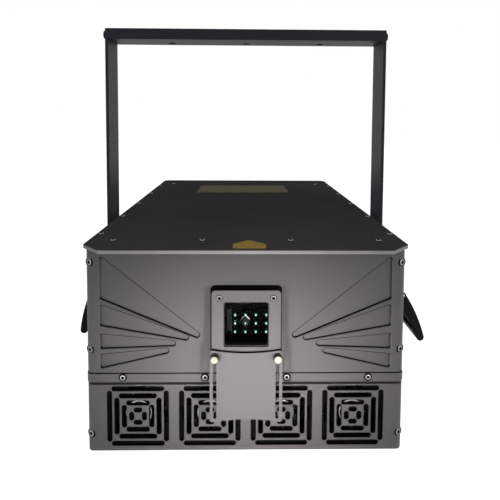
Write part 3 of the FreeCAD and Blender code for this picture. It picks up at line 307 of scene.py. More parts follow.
def lid_coat():
    """Satin black on the lid's top, with the lighter cut edge below it, whose tone is raised as a painted highlight."""
    colour = finishes().lid_black
    material, tree, shader = start_finish("lid_satin_black", colour, roughness=0.6, gloss=0.0)
    edge_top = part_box("top_lid")[1].z - 0.0008
    edge_blur = 0.0003
    edge = spread(tree, height_of(tree, coordinates(tree)), 1.0, 0.0, edge_top - edge_blur, edge_top)
    drift = noise(tree, 5.0, 3.0)
    top = mottled(tree, drift, colour, 0.9, 1.12)
    side = mottled(tree, drift, finishes().lid_cut_edge_highlight, 0.9, 1.1)
    grain = noise(tree, 1500.0)
    set_inputs(shader, {
        "Base Color": blend_colours(tree, edge, top, side),
        "Roughness": spread(tree, grain, 0.5, 0.62),
        "Normal": bumps(tree, grain, 0.00008, 0.6)})
    return material


def moulded_plastic(name, colour, roughness, grain_scale, wear=2.5, gloss=0.05):
    """Moulded plastic or rubber with a fine etched grain."""
    material, tree, shader = start_finish(name, colour, roughness, gloss=gloss)
    tone = mottled(tree, noise(tree, 12.0), colour, 0.85, 1.2)
    grain = noise(tree, grain_scale, 3.0)
    set_inputs(shader, {
        "Base Color": wear_and_painted_light(tree, tone, shade(colour, wear)),
        "Roughness": spread(tree, grain, roughness - 0.08, roughness + 0.1),
        "Normal": bumps(tree, grain, 0.0001, 0.5)})
    return material


def machined_metal(name, colour, roughness, stretch=(1.0, 1.0, 1.0)):
    """Bare metal with drawn-out tool marks, nearly black where faces are marked dark: painted shade, and the tarnish of
    dull screw crowns.
    """
    material, tree, shader = start_finish(name, colour, roughness, metallic=1.0)
    marks = noise(tree, 90.0, 4.0, stretch)
    set_inputs(shader, {
        "Base Color": shade_and_tarnish_dark(tree, mottled(tree, marks, colour, 0.88, 1.08)),
        "Roughness": spread(tree, marks, roughness - 0.06, roughness + 0.1),
        "Normal": bumps(tree, marks, 0.00003, 0.5)})
    return material


def clear_glass(name, colour, roughness, bend, scale, detail, haze, start=0.3, end=0.7):
    """Clear glass with patches of haze, for the window pane and the dichroic mirrors."""
    material, tree, shader = start_finish(name, colour, roughness)
    patches = spread(tree, noise(tree, scale, detail), 0.0, haze, start, end)
    set_inputs(shader, {"Transmission Weight": 1.0, "IOR": bend, "Roughness": patches})
    return material


def lens_glow():
    """Lit diode lens: white at its crown, green at its rim and fading out over the halo round it."""
    material, tree, shader = start_finish("diode_lens", (0.004, 0.006, 0.005), roughness=0.3)
    crown = marked(tree, "crown")
    rim = spread(tree, crown, 0.0, 1.0, 0.0, 0.5)
    core = spread(tree, crown, 0.0, 1.0, 0.46, 0.8)
    glow = blend_colours(tree, rim, BLACK, shade(finishes().laser_green))
    glow = blend_colours(tree, core, glow, (0.95, 1.0, 0.97, 1.0))
    set_inputs(shader, {"Emission Color": glow, "Emission Strength": 1.05})
    return material


def circuit_lacquer():
    """Green board with paler tracks."""
    colour = finishes().board_green
    material, tree, shader = start_finish("board_lacquer", colour, roughness=0.35)
    tones = {"Color1": shade(colour, 0.8), "Color2": shade(colour, 1.2), "Mortar": shade(colour, 2.0)}
    tracks = new_node(tree, "TexBrick", {"Vector": coordinates(tree), "Scale": 160.0, **tones})
    set_inputs(shader, {
        "Base Color": tracks.outputs["Color"], "Normal": bumps(tree, tracks.outputs["Fac"], 0.00005, 1.0)})
    return material


def brushed_plate(name, share):
    """Bare gold plate with a fine level brushing, made darker by a share."""
    colour = tint(finishes().plate_gold, share)
    material, tree, shader = start_finish(name, colour, roughness=0.5, gloss=0.006)
    marks = noise(tree, 120.0, 4.0, (0.6, 14.0, 1.0))
    set_inputs(shader, {
        "Base Color": mottled(tree, marks, colour, 0.8, 1.15),
        "Roughness": spread(tree, marks, 0.34, 0.5),
        "Normal": bumps(tree, marks, 0.00003, 0.5)})
    return material


def corner_normals(bm, smooth):
    """Normal of each face corner: the faces round it within the smooth angle, weighed by their areas."""
    limit = math.cos(math.radians(smooth))
    bm.normal_update()
    normals = []
    for face in bm.faces:
        for loop in face.loops:
            near = [f for f in loop.vert.link_faces if f.normal.dot(face.normal) > limit]
            normal = sum((f.normal * f.calc_area() for f in near), Vector())
            normals.append(normal.normalized() if normal.length else face.normal.copy())
    return normals


def add_object(name, data):
    """Puts a mesh, a light or a camera in the scene."""
    added = bpy.data.objects.new(name, data)
    bpy.context.scene.collection.objects.link(added)
    return added


def add_mesh(bm, name, material):
    """Puts a bmesh in the scene."""
    mesh = bpy.data.meshes.new(name)
    bm.to_mesh(mesh)
    bm.free()
    mesh.materials.append(material)
    return add_object(name, mesh)


def keep_piece(bm, name, material, body, slot, smooth=32.0):
    """Turns a bmesh into a piece that rides on a body."""
    normals = corner_normals(bm, smooth)
    piece = add_mesh(bm, name, material)
    piece.data.shade_smooth()
    piece.data.normals_split_custom_set(normals)
    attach(piece, body)
    return piece


def stand_in(bm, node, material, smooth=32.0):
    """Turns a bmesh into the piece that stands for a CAD node."""
    piece = keep_piece(bm, node + "_dressed", material, body_of_node[node], slot_of_node[node], smooth)
    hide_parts(node)


def repaint(node, material):
    """Gives a CAD node a new material and leaves its mesh alone."""
    node_object = frame["nodes"][node]
    if not node_object.material_slots:
        node_object.data.materials.append(material)
    for slot in node_object.material_slots:
        slot.material = material


def copy_of(node):
    """New bmesh of a CAD node, with its vertices welded."""
    bm = bmesh.new()
    bm.from_mesh(frame["nodes"][node].data)
    bmesh.ops.remove_doubles(bm, verts=bm.verts, dist=WELD_DISTANCE)
    return bm


def facing(axis):
    """Turn that points Z along an axis."""
    return axis.to_track_quat("Z", "Y").to_matrix().to_4x4()


def block(bm, size, place):
    """Box of a size round a place; returns its vertices."""
    verts = bmesh.ops.create_cube(bm, size=1.0)["verts"]
    bmesh.ops.scale(bm, verts=verts, vec=size)
    bmesh.ops.translate(bm, verts=verts, vec=place)
    return verts


def peg(bm, place, base, tip, depth, segments):
    """Round peg with its middle at a matrix, which narrows along Z from its base radius to its tip radius."""
    verts = bmesh.ops.create_cone(
        bm, cap_ends=True, segments=segments, radius1=base, radius2=tip, depth=depth)["verts"]
    bmesh.ops.transform(bm, matrix=place, verts=verts)


def lift(bm, faces, vec):
    """Extrudes faces along a vector and returns the new geometry."""
    raised = bmesh.ops.extrude_face_region(bm, geom=faces)["geom"]
    bmesh.ops.translate(bm, verts=[g for g in raised if isinstance(g, bmesh.types.BMVert)], vec=vec)
    return raised


def raise_rim(bm, width, vec):
    """Makes a bmesh's one flat face into a raised rim."""
    middle = bm.faces[:]
    rim = bmesh.ops.inset_region(bm, faces=middle, thickness=width, depth=0.0, use_boundary=True)["faces"]
    bmesh.ops.delete(bm, geom=middle, context="FACES_ONLY")
    lift(bm, rim, vec)
    bmesh.ops.recalc_face_normals(bm, faces=bm.faces)


def step_in(bm, face, steps):
    """Insets a face in steps, each an inset and a rise."""
    for inset, rise in steps:
        bmesh.ops.inset_region(bm, faces=[face], thickness=inset, depth=rise, use_even_offset=True)


def round_edges(bm, edges, width, segments, clamp=True, slide=False):
    """Rounds edges of a bmesh and returns the new faces."""
    return bmesh.ops.bevel(
        bm, geom=edges, offset=width, offset_type="OFFSET", segments=segments, profile=0.5,
        affect="EDGES", clamp_overlap=clamp, loop_slide=slide, material=-1)["faces"]


def soften_all(nodes, material, width, **rounds):
    """Stands for several CAD nodes in the same way."""
    for node in nodes:
        soften(node, material, width, **rounds)


def soften(node, material, width, segments=2, sharp=33.0, painted_light_of=None, wide=None):
    """Stands for a CAD node with a copy whose sharp edges are rounded and marked for wear.

    The face function gives each face's painted shade, or below zero its painted light, which shares the mask with the
    wear of the rounded edges.
    wide picks the edges with a round three times as broad, which doesn't wear.
    """
    bm = copy_of(node)
    bmesh.ops.dissolve_limit(bm, angle_limit=math.radians(1.0), verts=bm.verts, edges=bm.edges)
    edges = [e for e in bm.edges if e.is_manifold and e.calc_face_angle() > math.radians(sharp)]
    if wide:
        round_edges(bm, [e for e in edges if wide(e)], width * 3.0, segments, clamp=False)
        edges = [e for e in edges if e.is_valid]
    wear = bm.loops.layers.float.new("wear_and_light_mask")
    for face in round_edges(bm, edges, width, segments, slide=True):
        for loop in face.loops:
            loop[wear] = 1.0
    # Painted light: a face's value above zero paints shade into the dark mask, below zero it paints light into the wear
    # mask.
    if painted_light_of:
        dark = bm.loops.layers.float.new("dark")
        bm.normal_update()
        for face in bm.faces:
            depth = painted_light_of(face)
            for loop in face.loops:
                loop[dark] = max(depth, 0.0)
                loop[wear] = max(loop[wear], -depth)
    stand_in(bm, node, material)


def islands(node):
    """Vertex places of each separate solid of a CAD node."""
    bm = copy_of(node)
    left = set(bm.verts)
    found = []
    while left:
        stack = [left.pop()]
        group = []
        while stack:
            vertex = stack.pop()
            group.append(vertex.co.copy())
            for edge in vertex.link_edges:
                other = edge.other_vert(vertex)
                if other in left:
                    left.remove(other)
                    stack.append(other)
        found.append(group)
    bm.free()
    return found


def seat_of(points, axis):
    """Matrix at the outer end of a round solid's axis, with Z along the axis, and the solid's length."""
    turn = facing(axis)
    local = [turn.inverted() @ point for point in points]
    low = Vector([min(p[i] for p in local) for i in range(3)])
    high = Vector([max(p[i] for p in local) for i in range(3)])
    end = Vector(((low.x + high.x) / 2, (low.y + high.y) / 2, high.z))
    return Matrix.Translation(turn @ end) @ turn, high.z - low.z


def screw_seats(node, axis_at):
    """Seat and length of each screw of a node, and whether it is slanted, as at the corners."""
    for points in islands(node):
        axis = axis_at(sum(points, Vector()) / len(points))
        yield *seat_of(points, axis), bool(axis.x and axis.y)


def button_head(bm, place, radius, height, length, tarnish):
    """Domed screw head with a hexagon socket, its top at the origin of place, and a plain shank."""
    socket = sizes().socket_share
    shank = radius * 0.42
    # Each ring's radius and drop as shares of the head's, its corners and how dark it is: the rim rings and the hexagon
    # socket are painted dark as shade round the head and in the socket, the crown rings take the tarnish.
    profile = (
        (1.0, 1.0, 24, 1.0), (0.97, 0.62, 24, 1.0), (0.87, 0.3, 24, 0.5), (0.8, 0.18, 24, tarnish),
        (0.66, 0.06, 24, tarnish), (socket, 0.04, 6, 1.0), (socket * 0.94, 0.75, 6, 1.0))
    dark = bm.verts.layers.float["dark"]
    rings = []
    for share, drop, corners, depth in profile:
        ring = bmesh.ops.create_circle(bm, cap_ends=False, segments=corners, radius=radius * share)["verts"]
        bmesh.ops.translate(bm, verts=ring, vec=(0, 0, -drop * height))
        for vertex in ring:
            vertex[dark] = depth
        rings.append(ring)
    bm.faces.new(rings[-1])
    for lower, upper in zip(rings, rings[1:]):
        loops = {e for v in lower + upper for e in v.link_edges
                 if any(e.verts[0] in ring and e.verts[1] in ring for ring in (lower, upper))}
        bmesh.ops.bridge_loops(bm, edges=list(loops))
    bmesh.ops.transform(bm, matrix=place, verts=[v for ring in rings for v in ring])
    peg(bm, place @ Matrix.Translation((0, 0, -(height + length) / 2)), shank, shank, length - height, segments=12)


def screw_set(node, material, axis_at, radius, height, sink=0.0, tarnish=0.0):
    """Stands for a node of screws with domed socket-head screws, the corner ones larger."""
    bm = bmesh.new()
    bm.verts.layers.float.new("dark")
    for place, length, slanted in screw_seats(node, axis_at):
        place = place @ Matrix.Translation((0, 0, -sink))
        grow, dull = (sizes().corner_grow, finishes().corner_tarnish) if slanted else (1.0, tarnish)
        button_head(bm, place, radius * grow, height - sink, length - sink, dull)
    bmesh.ops.recalc_face_normals(bm, faces=bm.faces)
    stand_in(bm, node, material, smooth=40.0)


def front_sheets(coat, edge_round):
    """Front panel with its fin pockets and fan panel with its grilles."""
    low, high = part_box("fan_panel")
    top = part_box("front_panel")[1].z
    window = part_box("window_bezel")[1].x
    side = high.x - 0.01
    groove, lowest_fin, highest_fin = high.z + 0.008, high.z + 0.018, top - 0.002
    lowest_slot, highest_slot = low.z + 0.002, high.z - 0.001
    pocket_depth, fin_reach, slot_reach, slack = 0.0045, 0.0015, 0.0005, 0.0001
    frontal, level, steep = 0.97, 0.2, 0.6

    def on_front(edge, reach, inner, bottom, upper):
        """Whether an edge of a pocket or a slot lies within reach of the front face and inside limits."""
        return all(abs(v.co.y - low.y) < reach and inner < abs(v.co.x) < side and bottom < v.co.z < upper
                   for v in edge.verts)

    def fin_shadow(face):
        """Painted shade on the walls and rims of the fin pockets and of the level groove, and painted light on the
        pockets' outer walls.
        """
        place, normal = face.calc_center_median(), face.normal
        inside = abs(place.x) < side and groove < place.z < highest_fin
        if not inside or not -slack < place.y - low.y < pocket_depth or abs(normal.y) > frontal:
            return 0.0
        # Painted shade on walls that face up, down or outward; painted light, below zero, on the outer walls that face
        # the middle.
        if normal.z > level:
            return 1.0 if abs(normal.y) < steep else 0.4
        return 1.0 if normal.z < -level or normal.x * place.x > 0 else -1.0

    def grille_slot_shade(face):
        """Painted shade on the walls and rims of the grille slots."""
        place = face.calc_center_median()
        inside = abs(place.x) < side and lowest_slot < place.z < highest_slot
        return float(inside and place.y > low.y and abs(face.normal.y) < frontal)

    soften("front_panel", coat, edge_round * 0.8, painted_light_of=fin_shadow,
           wide=lambda edge: on_front(edge, fin_reach, window, lowest_fin, highest_fin))
    soften("fan_panel", coat, edge_round * 0.35, painted_light_of=grille_slot_shade,
           wide=lambda edge: on_front(edge, slot_reach, -1.0, lowest_slot, highest_slot))


class PROJECTOR_OT_housing(Operator):
    """Coats the housing's sheets, lid and feet and rounds their edges"""

    bl_idname = "projector.housing"
    bl_label = "Housing"

    def execute(self, context):
        coat = powder_coat("gunmetal_coat", finishes().coat_grey)
        edge_round = sizes().edge_round
        soften_all(("base_plate", "side_panel_left", "side_panel_right", "rear_panel"), coat, edge_round)
        front_sheets(coat, edge_round)
        soften("top_lid", lid_coat(), edge_round * 1.4)
        rubber = moulded_plastic("foot_rubber", finishes().rubber_black, roughness=0.75, grain_scale=500.0)
        soften("rubber_feet", rubber, sizes().grip_round, segments=3)
        return {"FINISHED"}


def shutter_gap_shade(black):
    """Black strip behind the shutter's upper edge, in its gap to the bezel, which paints that gap dark as shade."""
    node = "shutter_plate"
    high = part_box(node)[1]
    back, bottom = high.y - 0.0001, high.z - 0.01
    mesh = frame["nodes"][node].data
    corners = [mesh.vertices[i].co for face in mesh.polygons if face.normal.z > 0.3 for i in face.vertices]
    points = sorted({(round(c.x, 6), round(c.z, 6)) for c in corners if c.z > bottom and c.y > back})
    depth = sizes().gap_shade_depth
    section = [(0, 0), (depth, 0), (depth, -depth), (0, -depth)]
    bm = bmesh.new()
    rows = [[bm.verts.new((x, high.y + dy, z + dz)) for dy, dz in section] for x, z in points]
    for first, second in zip(rows, rows[1:]):
        for i in range(4):
            bm.faces.new((first[i], first[i - 1], second[i - 1], second[i]))
    bm.faces.new(rows[0])
    bm.faces.new(rows[-1])
    bmesh.ops.recalc_face_normals(bm, faces=bm.faces)
    keep_piece(bm, "shutter_gap_shade", black, body_of_node[node], "rubber")


def flat_frame(name, material, slot, outline, corner, width, back):
    """Thin rounded frame that lies flat round the window."""
    left, right, bottom, top = outline
    bm = bmesh.new()
    corners = [(left, bottom), (right, bottom), (right, top), (left, top)]
    bm.faces.new([bm.verts.new((x, back, z)) for x, z in corners])
    bmesh.ops.bevel(
        bm, geom=bm.verts[:], offset=corner, offset_type="OFFSET", segments=6, profile=0.5,
        affect="VERTICES", clamp_overlap=True, material=-1)
    raise_rim(bm, width, AHEAD * sizes().shade_ring_height)
    keep_piece(bm, name, material, "housing", slot)


class PROJECTOR_OT_window(Operator):
    """Finishes the window bezel, its pane, the black pieces that paint shade round the bezel and in the shutter's gap,
    and the sliding shutter
    """

    bl_idname = "projector.window"
    bl_label = "Beam window"

    def execute(self, context):
        size = sizes()
        coat = powder_coat("window_coat", tint(finishes().coat_grey, 1.14))
        low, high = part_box("window_bezel")
        middle = (low.z + high.z) / 2
        face_depth = 0.0008

        def bezel_shadow(face):
            """Painted shade: the walls of the bezel are dark, and the window's sill a little less so."""
            centre = face.calc_center_median()
            if abs(face.normal.y) > 0.5 or centre.y < low.y + face_depth:
                return 0.0
            return 0.9 if face.normal.z > 0.5 and centre.z < middle else 1.0

        def plate_shadow(face):
            """Painted shade: the walls and upper edges of the shutter are dark."""
            return float(abs(face.normal.y) < 0.5 or face.normal.z > 0.3)

        soften("window_bezel", coat, size.edge_round * 1.8, segments=3, painted_light_of=bezel_shadow)
        soften("shutter_plate", coat, size.edge_round, painted_light_of=plate_shadow)
        # Painted shade: a nearly black rubber for the frame round the bezel and the strip in the shutter's gap, which
        # stand in for the shade there.
        black = moulded_plastic("shade_black_rubber", tint(finishes().rubber_black, 0.15), roughness=0.75, grain_scale=500.0)
        side = size.shade_frame_margin
        rise = side * 0.15
        outline = (low.x - side, high.x + side, low.z - rise, high.z + rise)
        flat_frame("bezel_shade_frame", black, "rubber", outline, size.shade_frame_corner, side * 2, high.y)
        # Painted shade: the lip inside the window takes the housing grey darkened to 0.4.
        shaded = powder_coat("shaded_lip_coat", tint(finishes().coat_grey, 0.4))
        lip_back = low.y + size.lip_sink + size.shade_ring_height
        margin = size.pane_margin
        pane_low, pane_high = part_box("window_glass")
        outline = (pane_low.x + margin, pane_high.x - margin, pane_low.z + margin, pane_high.z - margin)
        flat_frame("window_lip", shaded, slot_of_node["window_bezel"], outline,
                   size.lip_corner, size.lip_width, lip_back)
        shutter_gap_shade(black)
        pane = clear_glass("window_pane", (0.93, 0.97, 0.96), roughness=0.02, bend=1.08,
                           scale=240.0, detail=4.0, haze=0.02, start=0.55, end=0.8)
        repaint("window_glass", pane)
        repaint("window_gasket", bpy.data.materials["foot_rubber"])
        spacer = moulded_plastic("spacer_plastic", finishes().plastic_black, roughness=0.5, grain_scale=700.0)
        repaint("shutter_spacers", spacer)
        return {"FINISHED"}


def thumbscrew(node, brass):
    """Ridged head with a chamfer and a shallow dish, and a plain shank."""
    low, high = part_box(node)
    middle = (low + high) / 2
    radius = (high.x - low.x) / 2
    head = radius * 1.67
    shank = radius * 0.39
    length = high.y - low.y - head
    groove_share, rim_share, shaded_share = 0.94, 0.86, 0.88
    # Inset and rise of the chamfer, the flat and the dish.
    steps = ((radius * 0.1, head * 0.14), (radius * 0.2, 0.0), (radius * 0.08, -head * 0.04))
    bm = bmesh.new()
    dark = bm.verts.layers.float.new("dark")
    rim = bmesh.ops.create_circle(bm, cap_ends=True, segments=sizes().thumb_ridges * 2, radius=radius)["verts"]
    for vertex in rim[1::2]:
        vertex.co *= groove_share
    raised = lift(bm, bm.faces[:], (0, 0, head * rim_share))
    cap = next(g for g in raised if isinstance(g, bmesh.types.BMFace))
    step_in(bm, cap, steps)
    # Painted shade: the ridged side below the chamfer is marked dark.
    for vertex in bm.verts:
        vertex[dark] = float(vertex.co.z < head * shaded_share)
    place = Matrix.Translation((middle.x, low.y + head, middle.z)) @ facing(AHEAD)
    bmesh.ops.transform(bm, matrix=place, verts=bm.verts)
    peg(bm, place @ Matrix.Translation((0, 0, -length / 2)), shank, shank, length, segments=20)
    bmesh.ops.recalc_face_normals(bm, faces=bm.faces)
    stand_in(bm, node, brass, smooth=30.0)


class PROJECTOR_OT_thumbscrews(Operator):
    """Models the two ridged thumbscrews that clamp the shutter"""

    bl_idname = "projector.thumbscrews"
    bl_label = "Thumbscrews"

    def execute(self, context):
        brass = machined_metal("pale_plated_brass", finishes().thumb_brass, roughness=0.3)
        for node in ("thumbscrew_left", "thumbscrew_right"):
            thumbscrew(node, brass)
        return {"FINISHED"}


def screw_shade_rings(axis_at):
    """Black washers under the front screws, narrow ones on the bezel, which paint the dark shade ring round each head.
    """
    size = sizes()
    height = size.shade_ring_height
    seat = Matrix.Translation((0, 0, height / 2 - size.head_height))
    bm = bmesh.new()
    radii = {"panel_screws": size.shade_ring_radius, "bezel_screws": size.head_radius + size.shade_ring_margin}
    for node, radius in radii.items():
        for place, _, slanted in screw_seats(node, axis_at):
            foot = radius * size.corner_grow if slanted else radius
            peg(bm, place @ seat, foot, foot * 0.94, height, segments=32)
    keep_piece(bm, "screw_shade_rings", bpy.data.materials["shade_black_rubber"], "housing", "rubber")


class PROJECTOR_OT_screws(Operator):
    """Models every socket-head screw and the yoke's domed bolts"""

    bl_idname = "projector.screws"
    bl_label = "Screws"

    def execute(self, context):
        size = sizes()
        steel = machined_metal("bright_screw_steel", finishes().screw_steel, roughness=0.26)
        dark = machined_metal("blackened_bolt_steel", finishes().bolt_black, roughness=0.36)
        corner_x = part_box("front_panel")[1].x - 0.02

        def panel_axis(centre):
            """Straight ahead, or turned to the side at the panel's corners."""
            turn = math.copysign(size.corner_turn, centre.x) if abs(centre.x) > corner_x else 0.0
            return Vector((math.sin(turn), -math.cos(turn), 0))

        def outward(centre):
            """Straight to the nearer side."""
            return Vector((math.copysign(1, centre.x), 0, 0))

        rows = (
            ("lid_screws", steel, lambda centre: UP, 0.0, finishes().lid_tarnish),
            ("panel_screws", steel, panel_axis, size.head_sink, 0.0),
            ("bezel_screws", steel, lambda centre: AHEAD, size.head_sink, finishes().bezel_tarnish),
            ("handle_screws", dark, outward, 0.0, 0.0),
            ("fan_screws", steel, lambda centre: BEHIND, 0.0, 0.0),
        )
        for node, metal, axis_at, sink, tarnish in rows:
            screw_set(node, metal, axis_at, size.head_radius, size.head_height, sink, tarnish)
        screw_set("yoke_bolts", dark, outward, size.bolt_radius, size.bolt_height)
        repaint("handle_pins", steel)
        screw_shade_rings(panel_axis)
        return {"FINISHED"}


class PROJECTOR_OT_yoke(Operator):
    """Coats the yoke and finishes its pivots and hand knobs"""

    bl_idname = "projector.yoke"
    bl_label = "Yoke"

    def execute(self, context):
        edge_round = sizes().edge_round
        coat = powder_coat("yoke_black_coat", finishes().yoke_black, roughness=0.5, metallic=0.0, gloss=0.12)
        soften_all(("yoke_top_bar", "yoke_arm_left", "yoke_arm_right"), coat, edge_round * 1.6, segments=3)
        knob = moulded_plastic("knob_plastic", finishes().plastic_black, roughness=0.48, grain_scale=900.0)
        soften_all(("pivot_knob_left", "pivot_knob_right"), knob, sizes().grip_round, segments=3, sharp=40.0)
        soften("pivot_studs", machined_metal("turned_stud_steel", finishes().screw_steel, roughness=0.3), edge_round)
        soften("pivot_washers", bpy.data.materials["foot_rubber"], edge_round * 0.8)
        return {"FINISHED"}


class PROJECTOR_OT_handles(Operator):
    """Finishes the folding side handles"""

    bl_idname = "projector.handles"
    bl_label = "Handles"

    def execute(self, context):
        grip = moulded_plastic(
            "grip_plastic", tint(finishes().plastic_black, 1.5), roughness=0.42, grain_scale=1100.0,
            wear=1.3, gloss=0.01)
        soften_all(("handle_grip_left", "handle_grip_right"), grip, sizes().grip_round, segments=3, sharp=40.0)
        coat = bpy.data.materials["yoke_black_coat"]
        soften_all(("handle_base_left", "handle_base_right"), coat, sizes().edge_round)
        return {"FINISHED"}


def hub_highlight_ring(node, pale):
    """Pale ring round the front of a fan's hub, which paints the highlight along the hub's edge."""
    low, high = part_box(node)
    hub = sizes().hub_radius
    width = hub * 0.09
    reach = hub * 1.02
    centre = (low + high) / 2
    points = [v.co for v in frame["nodes"][node].data.vertices]
    centre.y = min(p.y for p in points if (p.x - centre.x) ** 2 + (p.z - centre.z) ** 2 < reach ** 2)
    bm = bmesh.new()
    bmesh.ops.create_circle(bm, cap_ends=True, segments=48, radius=hub)
    raise_rim(bm, width, UP * sizes().ring_height)
    bmesh.ops.transform(bm, matrix=Matrix.Translation(centre) @ facing(AHEAD), verts=bm.verts)
    keep_piece(bm, node + "_ring", pale, body_of_node[node], slot_of_node[node])


class PROJECTOR_OT_fans(Operator):
    """Finishes the four cooling fans behind the grilles"""

    bl_idname = "projector.fans"
    bl_label = "Fans"

    def execute(self, context):
        # Painted shade: the fans behind the grilles take the plastic black darkened to a quarter.
        plastic = moulded_plastic("fan_plastic", tint(finishes().plastic_black, 0.25), roughness=0.6, grain_scale=800.0)
        pale = moulded_plastic("hub_ring_plastic", finishes().hub_highlight_ring, roughness=0.4, grain_scale=800.0)
        for index in range(1, 5):
            soften("fan_frame_%d" % index, plastic, sizes().edge_round * 0.8, segments=1)
            repaint("fan_rotor_%d" % index, plastic)
            hub_highlight_ring("fan_rotor_%d" % index, pale)
        return {"FINISHED"}


def lid_plate(name, outline, corner, gold):
    """Thin plate with rounded corners and a shallow sunk face."""
    low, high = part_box("top_lid")
    height = sizes().plate_height
    # Inset and rise of the border and of the sunk face.
    steps = ((corner * 0.35, 0.0), (corner * 0.1, -height * 0.3))
    bm = bmesh.new()
    face = bm.faces.new([bm.verts.new((x, low.y + y, high.z)) for x, y in outline])
    lift(bm, [face], UP * height)
    upright = [e for e in bm.edges if abs(e.verts[0].co.z - e.verts[1].co.z) > height / 2]
    round_edges(bm, upright, corner, segments=4)
    bmesh.ops.recalc_face_normals(bm, faces=bm.faces)
    cap = max(bm.faces, key=lambda f: f.calc_center_median().z)
    step_in(bm, cap, steps)
    keep_piece(bm, name, gold, "housing", "thumb_brass")


class PROJECTOR_OT_plates(Operator):
    """Adds the two bare plates on the lid"""

    bl_idname = "projector.plates"
    bl_label = "Bare plates"

    def execute(self, context):
        # Outlines with Y behind the lid's front edge, the round of the corners and the share of the gold's tone; the
        # rear plate's small share paints it darker as shade.
        rear = [(-0.105, 0.444), (0.095, 0.444), (0.095, 0.556), (-0.105, 0.556)]
        front = [(-0.0175, 0.008), (0.0239, 0.008), (0.0242, 0.0265), (0.0034, 0.0461), (-0.0173, 0.0265)]
        rows = (("rear_lid_plate", rear, 0.004, 0.155), ("front_lid_plate", front, 0.0015, 1.0))
        for name, outline, corner, share in rows:
            lid_plate(name, outline, corner, brushed_plate(name + "_gold", share))
        return {"FINISHED"}


class PROJECTOR_OT_lenses(Operator):
    """Models the lit lenses of the diode bank"""

    bl_idname = "projector.lenses"
    bl_label = "Diode lenses"

    def execute(self, context):
        node = "green_diode_lenses"
        rim_glow, halo_glow = 0.45, 0.3
        wide, tall, halo_share = 0.66, 0.95, 1.4
        skin = 0.0002
        bm = bmesh.new()
        glow = bm.verts.layers.float.new("crown")
        for points in islands(node):
            place, length = seat_of(points, AHEAD)
            radius = max((place.inverted() @ p).x for p in points)
            dome = bmesh.ops.create_uvsphere(bm, u_segments=20, v_segments=12, radius=radius)["verts"]
            for vertex in dome:
                vertex[glow] = rim_glow + (1.0 - rim_glow) * max(0.0, vertex.co.z / radius)
            bmesh.ops.scale(bm, verts=dome, vec=(wide, tall, length / (2 * radius)))
            bmesh.ops.translate(bm, verts=dome, vec=(0, 0, -length / 2))
            halo = bmesh.ops.create_circle(
                bm, cap_ends=True, cap_tris=True, segments=24, radius=radius * halo_share)["verts"]
            for vertex in halo:
                vertex[glow] = 0.0
            min(halo, key=lambda v: v.co.length)[glow] = halo_glow
            bmesh.ops.translate(bm, verts=halo, vec=(0, 0, skin - length))
            bmesh.ops.transform(bm, matrix=place, verts=dome + halo)
        stand_in(bm, node, lens_glow())
        return {"FINISHED"}


def anodised(name, colour):
    """Dull coat of the inner pieces."""
    return powder_coat(name, colour, roughness=0.5, metallic=0.0, grain_depth=0.00003, gloss=0.1)


def mirror_glint_strips():
    """Polished metal strips on the lower scanner mirror's upper edges, which paint its glint as a highlight; the right
    one is wider.
    """
    node = "galvo_mirror_lower"
    low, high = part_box(node)
    lean = math.atan2(high.y - low.y, high.z - low.z)
    peak = high - Vector((0.0062, 0.0013, 0.0004))
    length = sizes().glint_length
    thickness = 0.0006
    bm = bmesh.new()
    for side, width in ((-1, 0.0003), (1, 0.0014)):
        strip = block(bm, (length, thickness, width), (side * length / 2, 0, 0))
        slope = Matrix.Rotation(-lean, 3, "X") @ Matrix.Rotation(side * sizes().glint_slope, 3, "Y")
        bmesh.ops.rotate(bm, verts=strip, cent=(0, 0, 0), matrix=slope)
        bmesh.ops.translate(bm, verts=strip, vec=peak)
    silver = machined_metal("glint_metal", finishes().glint_silver, roughness=0.12)
    keep_piece(bm, "mirror_glint_strips", silver, body_of_node[node], slot_of_node[node])


def scanner_highlight_strip():
    """Grey strip on the scanner block's face, beside the lenses: a painted highlight, a lighter bar on the dark block.
    """
    low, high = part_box("galvo_block")
    strip_size = (0.0062, 0.001, 0.0303)
    inward, down = 0.0242, 0.0513
    bm = bmesh.new()
    block(bm, strip_size, (low.x + inward, low.y, high.z - down))
    grey = anodised("scanner_strip_grey", finishes().strip_grey)
    keep_piece(bm, "scanner_highlight_strip", grey, "housing", slot_of_node["galvo_block"])


class PROJECTOR_OT_optics(Operator):
    """Finishes the optics, cooling and supply inside the housing"""

    bl_idname = "projector.optics"
    bl_label = "Inner pieces"

    def execute(self, context):
        colours = finishes()
        milled = machined_metal("milled_aluminium", colours.bare_metal, roughness=0.34, stretch=(1.0, 6.0, 1.0))
        repaint("heat_sink", milled)
        black = anodised("black_anodised", colours.inner_black)
        inner_nodes = ("cross_rails", "corner_posts", "optics_plate", "mirror_mounts", "galvo_block",
                       "green_diode_bank", "blue_laser_module", "red_laser_module")
        soften_all(inner_nodes, black, sizes().edge_round)
        mirror = clear_glass("scanner_mirror", (0.75, 0.78, 0.78), roughness=0.03, bend=1.3,
                             scale=300.0, detail=3.0, haze=0.015)
        for node in ("beam_mirrors", "galvo_mirror_lower", "galvo_mirror_upper"):
            repaint(node, mirror)
        mirror_glint_strips()
        scanner_highlight_strip()
        case = machined_metal("supply_case_sheet", colours.case_grey, roughness=0.42, stretch=(8.0, 1.0, 1.0))
        soften("power_supply", case, sizes().edge_round)
        repaint("control_board", circuit_lacquer())
        return {"FINISHED"}


def opening(name):
    """Bottom and middle of an opening that the record names."""
    row = next(r for r in frame["record"]["physics"]["openings"] if r["name"] == name)
    low, high = [Vector(corner) for corner in row["box_m"]]
    return low.y, (low + high) / 2


